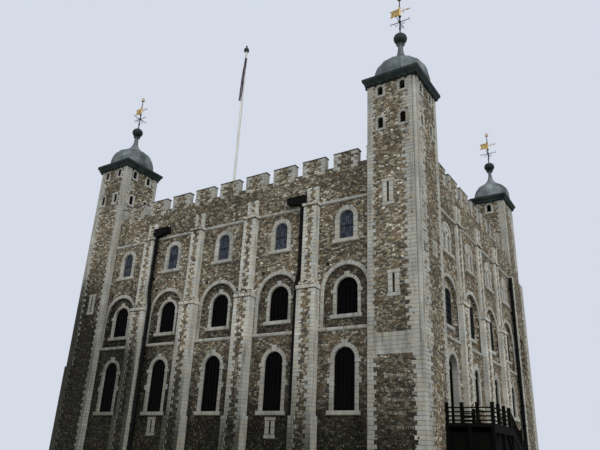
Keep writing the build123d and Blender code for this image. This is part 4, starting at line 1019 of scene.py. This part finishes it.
def rubbleOn(bed):
    # rough stones in uneven courses: widths are drawn until the bed is full, a share of them is kept, and a
    # stone stays out of every box, and of a round where (x - a)^2 + (z - b)^2 < r^2
    outlines, bottom, gap = [], bed["bottom"] + 0.02, rubbleStone["gap"]
    left, right = bed["ends"]
    while bottom < bed["top"] - 0.2:
        height = stoneDice.uniform(*rubbleStone["height"])
        widths = stoneDice.uniform(*rubbleStone["width"], int((right - left) / rubbleStone["width"][0]) + 1)
        ends = left + np.concatenate([[0.0], np.cumsum(widths)])
        ends = ends[ends <= right]
        outlines.append(boxes(ends[:-1] + gap, ends[1:] - gap / 2, bottom, bottom + height - gap))
        bottom += height
    stones = np.concatenate(outlines)
    stones = stones[stoneDice.random(len(stones)) < rubbleStone["share"]]
    stones = stones[stones[:, 2, 1] <= bed["top"]]
    left, bottom, right, top = stones[:, 0, 0], stones[:, 0, 1], stones[:, 2, 0], stones[:, 2, 1]
    clear = np.ones(len(stones), bool)
    for boxLeft, boxRight, boxBottom, boxTop in bed["boxes"]:
        clear &= (right < boxLeft) | (left > boxRight) | (top < boxBottom) | (bottom > boxTop)
    for middle, level, radius in bed["rounds"]:
        nearX, nearZ = np.clip(middle, left, right) - middle, np.clip(level, bottom, top) - level
        clear &= nearX ** 2 + nearZ ** 2 > radius ** 2
    stones = stones[clear] + stoneDice.uniform(-1, 1, stones[clear].shape) * rubbleStone["jitter"]
    high = stoneDice.uniform(*rubbleStone["proud"], len(stones))
    return cutStones(bed["plate"], stones, rubbleStone["bed"], high, rubbleStone["chamfer"])


for group in sorted({bed["group"] for bed in rubbleBeds}):
    shapes = [rubbleOn(bed) for bed in rubbleBeds if bed["group"] == group]
    if group == "nearTurret":
        shapes += paleStones
    makePiece(f"{group}Rubble", shapes, "stones")
print("keep: rubble laid")

# near-black boards line the doorway's passage beyond its pale reveal: painted shade of the dark passage
door = {"bay": plan["sideBays"][0], "lining": 0.03, "start": 0.42, "depth": 3.45, "board": 0.3, "foot": 5.72,
        "wedges": 9}
wall, inner = Facing(faces["right"]), windowRows["door"]["width"] / 2 - door["lining"]
outer, spring = inner + door["lining"] - 0.004, windowRows["door"]["crown"] - inner - door["lining"]
edges = np.arange(door["start"], door["depth"], door["board"])
for start, end in zip(edges[:-1], edges[1:]):
    for side in (-1, 1):
        ends = span(door["bay"], side, inner, outer)
        wall.lay(boxes(*ends, door["foot"], spring), -end + 0.01, -start, 0.004)
    wall.lay(ringStones(door["bay"], spring, inner, outer, door["wedges"]), -end + 0.01, -start, 0.004)
makePiece("doorwayShadeLining", wall.shapes, "timber")
print("keep: doorway lined")

cornice = {"profile": [(-1.2, 0.0), (0.1, 0.0), (0.12, 0.05), (0.2, 0.08), (0.2, 0.2), (0.23, 0.26),
                       (0.28, 0.34), (0.35, 0.42), (0.37, 0.5), (0.375, 0.62), (0.35, 0.7), (-1.2, 0.7)],
           # width, depth and height of the blocks under it, and their spacing
           "block": (0.14, 0.26, 0.16), "spacing": 0.52}
across, deep, tall = cornice["block"]
shapes = []
for corner in corners:
    middleX, middleY, halfX, halfY = turretBox(corner)
    # point = middle + side * (half size + out), for each row of the profile and each corner of the turret
    spots = [(middleX + signX * (halfX + out), middleY + signY * (halfY + out), plan["turretTop"] + rise)
             for out, rise in cornice["profile"] for signX, signY in ((-1, -1), (1, -1), (1, 1), (-1, 1))]
    quads = bands(4, len(cornice["profile"]), closed=True)
    shapes.append((np.array(spots), [quads], [np.zeros(len(quads))]))
    for bed in turretBeds(corner):
        if bed["top"] == plan["turretTop"]:
            reach = bed["half"] - 0.12
            places = np.linspace(-reach, reach, round(2 * bed["half"] / cornice["spacing"]))
            blocks = boxes(places - across / 2, places + across / 2, bed["top"] + 0.08 - tall,
                           bed["top"] + 0.1)
            shapes.append(cutStones(bed["plate"], blocks, 0.0, deep, 0.02))
makePiece("turretCornices", shapes, "cornice", "turret_cornices")
print("keep: cornices run")

dome = {"heights": {-1: 4.3, 1: 3.95}, "over": 0.21, "ribs": 16, "ribHeight": 0.05, "ribWidth": 0.03,
        "fullAt": 1.5, "turns": 256, "steps": 64,
        # shares of the radius and of the height
        "profile": [(1.0, 0.0), (1.02, 0.06), (1.025, 0.14), (0.99, 0.235), (0.93, 0.325), (0.86, 0.39),
                    (0.78, 0.435), (0.67, 0.48), (0.52, 0.53), (0.37, 0.587), (0.25, 0.652), (0.165, 0.725),
                    (0.118, 0.81), (0.098, 0.9), (0.096, 0.965), (0.14, 0.985), (0.14, 0.997)]}
corniceTop = plan["turretTop"] + plan["cornice"]
shapes, domeTops = [], {}
for corner, (sideX, sideY) in corners.items():
    middleX, middleY, halfX, halfY = turretBox(corner)
    height, radius = dome["heights"][sideY], min(halfX, halfY) + dome["over"]
    domeTops[corner] = corniceTop + height
    line = smoothLine([(part * radius, up * height) for part, up in dome["profile"]], dome["steps"])
    shapes.append(lathe(line, (middleX, middleY, corniceTop), dome["turns"], dome["ribs"], dome["ribHeight"],
                        dome["ribWidth"], dome["fullAt"]))
makePiece("leadDomes", shapes, "lead", "turret_domes", smooth=True)
print("keep: domes beaten")

finial = {"ball": 0.55, "collar": 0.14, "mastHeight": 3.75, "armHeight": 1.33, "arm": 0.95, "crown": 0.24,
          # half the height that a ball adds, as a share of its radius
          "ballRise": 0.9,
          # radii of the arms, their scrolls, the leaves from root to tip, and the crown's hoops
          "armIron": 0.028, "scrollIron": 0.018, "leafIron": (0.024, 0.008), "hoopIron": 0.022,
          # radius and height along the ball's foot, the mast and the crown's band
          "foot": [(0.3, -0.02), (0.36, 0.02), (0.37, 0.07), (0.3, 0.11), (0.2, 0.13)],
          "mast": [(0.19, -0.08), (0.17, 0.02), (0.09, 0.08), (0.062, 0.16), (0.062, 0.55), (0.1, 0.6),
                   (0.1, 0.66), (0.062, 0.72), (0.062, 1.2), (0.11, 1.27), (0.125, 1.33), (0.11, 1.39),
                   (0.06, 1.47), (0.06, 1.84), (0.125, 1.86), (0.125, 1.94), (0.06, 1.945), (0.05, 3.1),
                   (0.04, 3.68), (0.02, 3.74)],
          "band": [(0.13, -0.2), (0.165, -0.2), (0.175, -0.16), (0.165, -0.11), (0.13, -0.11)]}
east, north = np.array([1.0, 0.0, 0.0]), np.array([0.0, 1.0, 0.0])


def raised(profile, base):
    # the profile's rows of (radius, height), each with its height + base
    return np.array(profile) + [0.0, base]


def straight(start, end, count):
    # rows of (a, 0) for inPlane
    return np.stack([np.linspace(start, end, count), np.zeros(count)], 1)


# scroll under an arm, beside the mast: a spiral of radius 0.03 + 0.026 t
angle = np.linspace(0.0, 2.4 * pi, 40)
swing = 0.03 + 0.026 * angle
scroll = np.stack([0.36 - swing * np.cos(angle + 0.4 * pi), -0.22 + swing * np.sin(angle + 0.4 * pi)], 1)
# leaf on an arm's end: two tips, each curled from a - 0.2 along 0.12 (sin t, 1 - cos t)
bend = np.linspace(0, 0.75 * pi, 12)
leaf = np.stack([finial["arm"] - 0.2 + 0.12 * np.sin(bend), 0.12 * (1 - np.cos(bend))], 1)
bend = np.linspace(0, pi / 2, 12)
# hoop of a crown: a = 0.155 + 0.075 sin 2t - 0.155 (2t / pi)^2, b = 0.3 sin t - 0.13
hoop = np.stack([0.155 + 0.075 * np.sin(2 * bend) - 0.155 * (bend * 2 / pi) ** 2,
                 -0.13 + 0.3 * np.sin(bend)], 1)
# the ball under the mast and the small one on the crown: r (cos t, sin t), pressed a little flat
turns = np.linspace(-1.2, 1.2, 22)
ball = finial["ball"] * np.stack([np.cos(turns), 0.94 * np.sin(turns)], 1)
turns = np.linspace(-1.45, 1.45, 9)
orb = np.stack([0.05 * np.cos(turns), 0.045 * np.sin(turns)], 1)
finialShapes, crownShapes = [], []
for corner, base in domeTops.items():
    spot = np.array([*turretBox(corner)[:2], 0.0])
    ballMiddle = base + finial["collar"] + finial["ballRise"] * finial["ball"]
    mastBase = ballMiddle + finial["ballRise"] * finial["ball"]
    finialShapes += [lathe(raised(finial["foot"], base), spot, 40),
                     lathe(raised(ball, ballMiddle), spot, 144, ribs=24, ribHeight=0.025, fullAt=0.5),
                     lathe(raised(finial["mast"], mastBase), spot, 16)]
    armRoot = spot + upward * (mastBase + finial["armHeight"])
    crownMiddle = mastBase + finial["mastHeight"] + finial["crown"] - 0.06
    crownShapes.append(lathe(raised(finial["band"], crownMiddle), spot, 24))
    for out, side in ((east, north), (north, -east), (-east, -north), (-north, east)):
        arm, leafRadii = straight(0.05, finial["arm"] - 0.08, 12), np.linspace(*finial["leafIron"], len(leaf))
        finialShapes += [inPlane(armRoot, out, arm, finial["armIron"], side, 8),
                         inPlane(armRoot, out, scroll, finial["scrollIron"], side)]
        finialShapes += [inPlane(armRoot, out, leaf * [1, flip], leafRadii, side) for flip in (-1, 1)]
        crownShapes.append(inPlane(spot + upward * crownMiddle, out, hoop, finial["hoopIron"], side, 8))
    crownShapes.append(lathe(raised(orb, crownMiddle + 0.19), spot, 12))
makePiece("turretFinials", finialShapes, "darkMetal", "turret_finials", smooth=True)
makePiece("giltCrowns", crownShapes, "gilt", smooth=True)
print("keep: finials turned")

vane = {"base": 1.95, "height": 0.95, "long": 0.9, "plate": 0.022, "pointer": 0.95, "tipPlate": 0.03,
        # radii of the pennant's rim, its scrolls, the pointer, and the pointer's curls from root to tip
        "rimIron": 0.014, "scrollIron": 0.012, "pointerIron": 0.027, "curlIron": (0.02, 0.01),
        "sleeve": [(0.07, 0.0), (0.1, 0.0), (0.11, 0.04), (0.085, 0.09), (0.085, 0.86), (0.11, 0.91),
                   (0.1, 0.95), (0.07, 0.95)],
        "tip": [(0.72, 0.0), (0.66, 0.1), (0.74, 0.085), (0.97, 0.012), (1.07, 0.0), (0.97, -0.012),
                (0.74, -0.085), (0.66, -0.1)]}
# pennant: straight at the sleeve and along top and foot, its fly cut to two tails with a rounded notch
long, notch = vane["long"], np.linspace(0.5 * pi, -0.5 * pi, 15)
fly = np.stack([long - 0.02 - 0.1 * np.abs(np.cos(notch)) ** 1.5, 0.3 * np.sin(notch)], 1)
pennant = np.concatenate([[(0.05, -0.36), (0.05, 0.36), (0.3, 0.37), (long - 0.16, 0.34), (long, 0.38)], fly,
                          [(long, -0.38), (long - 0.16, -0.34), (0.3, -0.37)]])
# scroll on the pennant: a spiral of radius 0.012 + 0.0115 t
angle = np.linspace(0.0, 3.0 * pi, 42)
swing = 0.012 + 0.0115 * angle
coil = np.stack([0.34 - swing * np.cos(angle), 0.15 + swing * np.sin(angle)], 1)
# curl beside the pointer: a = 0.3 + 0.02 t + 0.09 sin t, b = 0.03 + 0.1 (1 - cos t)
bend = np.linspace(0.0, 1.6 * pi, 26)
curl = np.stack([0.3 + 0.02 * bend + 0.09 * np.sin(bend), 0.03 + 0.1 * (1 - np.cos(bend))], 1)
for corner, base in domeTops.items():
    vaneBase = base + finial["collar"] + 2 * finial["ballRise"] * finial["ball"] + vane["base"]
    spot = np.array([*turretBox(corner)[:2], 0.0])
    origin = spot + upward * (vaneBase + vane["height"] / 2)
    shapes = [lathe(raised(vane["sleeve"], vaneBase), spot, 20),
              sheetPlate(pennant[::-1], vane["plate"], origin, -east)]
    for face in (-1, 1):
        # raised rim and two scrolls on each face of the pennant
        onFace = origin + north * face * (vane["plate"] / 2 + 0.004)
        rim = pennant * [0.93, 0.9] + [0.03, 0]
        shapes.append(inPlane(onFace, -east, rim, vane["rimIron"], north, closed=True))
        shapes += [inPlane(onFace, -east, coil * [1, flip], vane["scrollIron"], north) for flip in (-1, 1)]
    pointer, curlRadii = straight(0.08, vane["pointer"] - 0.1, 8), np.linspace(*vane["curlIron"], len(curl))
    shapes.append(inPlane(origin, east, pointer, vane["pointerIron"], north, 8))
    shapes.append(sheetPlate(vane["tip"], vane["tipPlate"], origin, east))
    shapes += [inPlane(origin, east, curl * [1, flip], curlRadii, north) for flip in (-1, 1)]
    turning = f"{corner}_weather_vane"
    makePiece(f"{corner}WeatherVane", shapes, "gilt", turning, turning)
print("keep: vanes gilded")

pole = {"x": -0.62, "y": -13.25, "top": 41.6,
        # radius and height along the mushroom cap, and a small ball on it by radius and height
        "cap": [(0.1, -0.006), (0.262, -0.006), (0.266, 0.03), (0.266, 0.16), (0.252, 0.22), (0.19, 0.345),
                (0.11, 0.39), (0.042, 0.41)], "ball": (0.094, 0.606)}
flag = {"top": 40.68, "drop": 5.1, "reach": 0.205, "turns": (-41.0, -109.0), "folds": 5, "width": 0.29,
        "depth": 0.085, "rows": 60, "columns": 121}
halyard = {"gap": 0.15, "apart": 0.03, "radius": 0.012, "foot": 24.6, "rings": 30}


def foldedFlag():
    # the cloth hangs in upright folds against the pole: at a share s of its width it lies x = w (s - 1/2)
    # along and y = d sin(2 pi n s) out from a line that winds down the pole, and the shares are read off at
    # equal steps of cloth; the folds deepen and spread a little towards the foot
    fine = np.linspace(0, 1, 2001)
    rows = []
    for part in np.linspace(0, 1, flag["rows"]):
        depth = flag["depth"] * (0.86 + 0.14 * part)
        turn = radians(np.interp(part, (0, 1), flag["turns"]))
        x = flag["width"] * (0.8 + 0.2 * part) * (fine - 0.5) + 0.012 * sin(9.0 * part + 0.4)
        y = depth * np.sin(2 * pi * flag["folds"] * fine + 0.8 * part) * (0.9 + 0.1 * np.cos(7 * fine))
        run = np.concatenate([[0], np.cumsum(np.hypot(np.diff(x), np.diff(y)))])
        share = np.interp(np.linspace(0, run[-1], flag["columns"]), run, fine)
        along, out = np.interp(share, fine, x), flag["reach"] + np.interp(share, fine, y)
        rows.append(np.stack([pole["x"] + out * cos(turn) - along * sin(turn),
                              pole["y"] + out * sin(turn) + along * cos(turn),
                              flag["top"] - flag["drop"] * part - 0.08 * np.sin(pi * share) * (1 - part)], 1))
    return np.array(rows)


grid = foldedFlag()
rows, columns = grid.shape[:2]
first = (np.arange(rows - 1)[:, None] * columns + np.arange(columns - 1)[None, :]).ravel()
flagShape = (grid.reshape(-1, 3), [np.stack([first, first + columns, first + columns + 1, first + 1], 1)],
             [np.tile(np.linspace(0, 1, columns - 1), rows - 1)])
flagPiece = makePiece("limpFlag", [flagShape], "cloth", "flag", smooth=True)
width, drop = (float(np.linalg.norm(np.diff(grid, axis=axis), axis=2).sum(axis).mean())
               for axis in (1, 0))
print("keep: flag is", round(width, 3), "by", round(drop, 3), "m")
heights = np.linspace(halyard["foot"], pole["top"], halyard["rings"])
ropes = [tube([(pole["x"] + side * halyard["apart"], pole["y"] + halyard["gap"], z) for z in heights],
              halyard["radius"], north, 6) for side in (-1, 1)]
makePiece("flagHalyard", ropes, "pole")
radius, level = pole["ball"]
turns = np.linspace(0.15, 0.98, 12) * pi
cap = pole["cap"] + [(radius * sin(turn), level - radius * cos(turn)) for turn in turns]
truck = lathe(cap, (pole["x"], pole["y"], pole["top"]), 20)
makePiece("poleTruck", [truck], "darkMetal", smooth=True)
print("keep: flag hung")

stairs = {"landing": (-11.8, -7.2), "outer": 21.15, "inner": 18.0, "top": 5.7, "flight": 18.6, "going": 0.3,
          "count": 32, "plank": 0.24, "board": (0.2, 0.02), "pitch": 0.23, "under": 5.1, "proud": 0.012,
          # feet and heads of the braces, their size, and how far the boards stand in from the landing's edges
          "brace": (4.1, 5.15), "braceSize": (0.12, 0.14), "in": (0.17, 0.185), "string": 0.13,
          "nosing": (0.04, 0.05)}
start, end = stairs["landing"]
outer, inner, top, level = stairs["outer"], stairs["inner"], stairs["top"], stairs["top"] + stairs["proud"]
timbers = []
for y in np.arange(start + 0.01, end - 0.2, stairs["plank"]) + stairs["plank"] / 2:
    timbers.append(beam((inner + 0.02, y, level), (outer - 0.01, y, level), stairs["plank"] - 0.02, 0.03))
for x in (inner + 0.1, (inner + outer) / 2, outer - 0.1):
    for y, lean in ((start + 0.2, 1), (end - 0.2, -1)):
        foot, head = stairs["brace"]
        timbers.append(beam((x, y + lean * 0.05, foot), (x, y + lean, head), *stairs["braceSize"], east))
# upright boards under the landing, on its long side and on its end
x = outer - stairs["in"][0]
for y in np.arange(start + 0.25, end - 0.02, stairs["pitch"]) + 0.1:
    timbers.append(beam((x, y, 0.02), (x, y, stairs["under"]), *stairs["board"], east))
y = start + stairs["in"][1]
for x in np.arange(inner + 0.25, outer - 0.3, stairs["pitch"]) + 0.1:
    timbers.append(beam((x, y, 0.02), (x, y, stairs["under"]), *stairs["board"], north))
# nosings
for step in range(1, stairs["count"]):
    y = end + (step - 0.5) * stairs["going"] + 0.125
    z = top * (1 - step / stairs["count"]) + stairs["proud"]
    left, right = stairs["flight"] + stairs["string"], outer - stairs["string"]
    timbers.append(beam((left, y, z), (right, y, z), *stairs["nosing"]))
makePiece("stairPlanks", timbers, "timber")
print("keep: stair planked")

pipe = {"radius": 0.16, "standoff": 0.3, "upper": [17.2, 19.1, 21.0], "upperAt": 0.7, "lowerAt": 0.93,
        "lower": [1.6, 3.4, 5.2, 7.0, 8.8, 10.6, 12.4, 14.2],
        "collar": [(0.1, 0.0), (0.185, 0.0), (0.205, 0.03), (0.205, 0.1), (0.185, 0.13), (0.1, 0.13)],
        "trough": (0.5, 2.27), "rails": (22.29, 22.72), "railOut": 0.53, "iron": 0.035,
        # bottom, top, and how far out the ribs on a trough's front start and end
        "ribs": (22.3, 22.7, 0.3, 0.525), "ribCount": 9}


def collars(plate, at, heights):
    # rings round the pipe that runs up one face
    spot = onPlate(plate, np.array([at, 0.0, pipe["standoff"]]))
    return [lathe(raised(pipe["collar"], height), spot, 16) for height in heights]


irons, half = [], pipe["iron"]
bottom, top, low, high = pipe["ribs"]
for side in ("front", "back"):
    wall, places = Facing(faces[side], irons), halfway(plan["frontBays"])
    for place, towards in ((places[0], 1), (places[3], -1)):
        irons += collars(wall.plate, place + towards * (pipe["upperAt"] + pipe["radius"]), pipe["upper"])
        irons += collars(wall.plate, place + towards * (pipe["lowerAt"] + pipe["radius"]), pipe["lower"])
        ends = span(place, towards, *pipe["trough"])
        for rise in pipe["rails"]:
            wall.lay(boxes(*ends, rise - half, rise + half), 0.0, pipe["railOut"], 0.01)
        ribs = np.linspace(ends[0] + 0.06, ends[1] - 0.06, pipe["ribCount"])
        wall.lay(boxes(ribs - half, ribs + half, bottom, top), low, high, 0.01)
for side, towards in (("right", 1), ("left", -1)):
    irons += collars(faces[side], towards * (plan["sideRun"] - pipe["radius"]), pipe["upper"] + pipe["lower"])
makePiece("pipeCollars", irons, "iron")
print("keep: pipes collared")

roof = {"roll": 0.9, "radius": 0.05, "reach": (13.5, 10.5), "drips": (-5.4, 0.0, 5.4), "dripReach": 13.9,
        "dripSize": (0.12, 0.08)}
top, reach, (reachX, reachY) = plan["wallTop"], roof["dripReach"], roof["reach"]
rolls = [tube([(x, y, top + 0.01) for y in (-reachY, reachY)], roof["radius"], east, 8)
         for x in np.arange(-reachX, reachX + 0.1, roof["roll"])]
rolls += [beam((-reach, y, top + 0.02), (reach, y, top + 0.02), *roof["dripSize"]) for y in roof["drips"]]
makePiece("roofRolls", rolls, "roofLead")

walk = {"slab": 0.92, "rise": 0.045, "gap": 0.012, "rows": 3,
        "inside": {"front": 3.78, "right": 3.55, "back": 3.78, "left": 3.55}}
slabs = []
for side, plate in faces.items():
    run, gap, wall = sideSizes(side)[1], walk["gap"], Facing(plate, slabs)
    depths = np.linspace(-walk["inside"][side], -merlon["wall"] - 0.02, walk["rows"] + 1)
    for row in range(walk["rows"]):
        starts = np.arange(-run + (0.5 + 0.2 * row) * walk["slab"], run - 0.3, walk["slab"])
        slab = rowOf(np.concatenate([[-run], starts, [run]]), top - 0.01, top + walk["rise"], gap)
        wall.lay(slab, depths[row] + gap, depths[row + 1] - gap, 0.01)
makePiece("wallWalkSlabs", slabs, "blocks")
print("keep: roof leaded")


def addObject(name, data):
    item = bpy.data.objects.new(name, data)
    bpy.context.collection.objects.link(item)
    return item


# the photo's camera, which looks up at the near corner: real metres, degrees, and millimetres of lens
viewer = {"place": (31.61, -50.25, 3.0), "yaw": 33.671, "pitch": 22.0675, "roll": 2.7097, "lens": 34.95,
          "sensor": 36.0, "farthest": 400.0}
camera = addObject("viewCamera", bpy.data.cameras.new("viewCamera"))
camera.data.lens = viewer["lens"]
camera.data.sensor_width = viewer["sensor"]
camera.data.clip_end = viewer["farthest"]
yaw, pitch, roll = (radians(viewer[key]) for key in ("yaw", "pitch", "roll"))
ahead = Vector((-sin(yaw) * cos(pitch), cos(yaw) * cos(pitch), sin(pitch)))
level = Vector((cos(yaw), sin(yaw), 0.0))
above = level.cross(ahead)
turned = Matrix((cos(roll) * level + sin(roll) * above, cos(roll) * above - sin(roll) * level, -ahead))
camera.matrix_world = Matrix.Translation(Vector(viewer["place"]) * metre) @ turned.transposed().to_4x4()
bpy.context.scene.camera = camera

studio = {"sky": (214, 219, 232), "ambient": 0.72, "air": (0.94, 0.97, 1.0), "sun": 1.55,
          "sunAngle": 38.0, "sunFrom": (0.62, -0.45, 0.75), "floor": (176, 176, 172),
          "floorPale": (182, 182, 178), "reach": 120.0, "level": -0.002}
sun = addObject("softSun", bpy.data.lights.new("softSun", "SUN"))
sun.data.energy = studio["sun"]
sun.data.angle = radians(studio["sunAngle"])
sun.rotation_euler = Vector(studio["sunFrom"]).to_track_quat("Z", "Y").to_euler()
world = bpy.data.worlds.new("paleStudio")
bpy.context.scene.world = world
world.use_nodes = True
# the camera, reflections and glass see the pale sky, and the pieces are lit by the ambient one
air = Nodes(world.node_tree)
ambient = air.tree.nodes["Background"]
air.put(ambient.inputs["Color"], studio["air"])
air.put(ambient.inputs["Strength"], studio["ambient"])
shown = air.add("Background", {"Color": linear(studio["sky"])})
rays = air.add("LightPath").outputs
seen = air.math("MAXIMUM", rays["Is Camera Ray"], rays["Is Glossy Ray"])
seen = air.math("MAXIMUM", seen, rays["Is Transmission Ray"])
both = air.add("MixShader", {"Fac": seen, 1: ambient.outputs[0], 2: shown.outputs[0]})
air.put(air.tree.nodes["World Output"].inputs["Surface"], both.outputs[0])

sheet = NodeSheet("paleFloor")
floorTone = sheet.veil(linear(studio["floor"]), sheet.noise(0.2), 0.3, 0.7, 1.0, studio["floorPale"])
floorMesh = bpy.data.meshes.new("studioFloor")
floorMesh.from_pydata([(x * studio["reach"], y * studio["reach"], studio["level"])
                       for x, y in ((-1, -1), (1, -1), (1, 1), (-1, 1))], [], [(0, 1, 2, 3)])
floorMesh.materials.append(sheet.finish(floorTone, 0.9))
addObject("studioFloor", floorMesh)
bpy.context.scene.view_settings.view_transform = "Standard"
print("keep: studio and camera set")
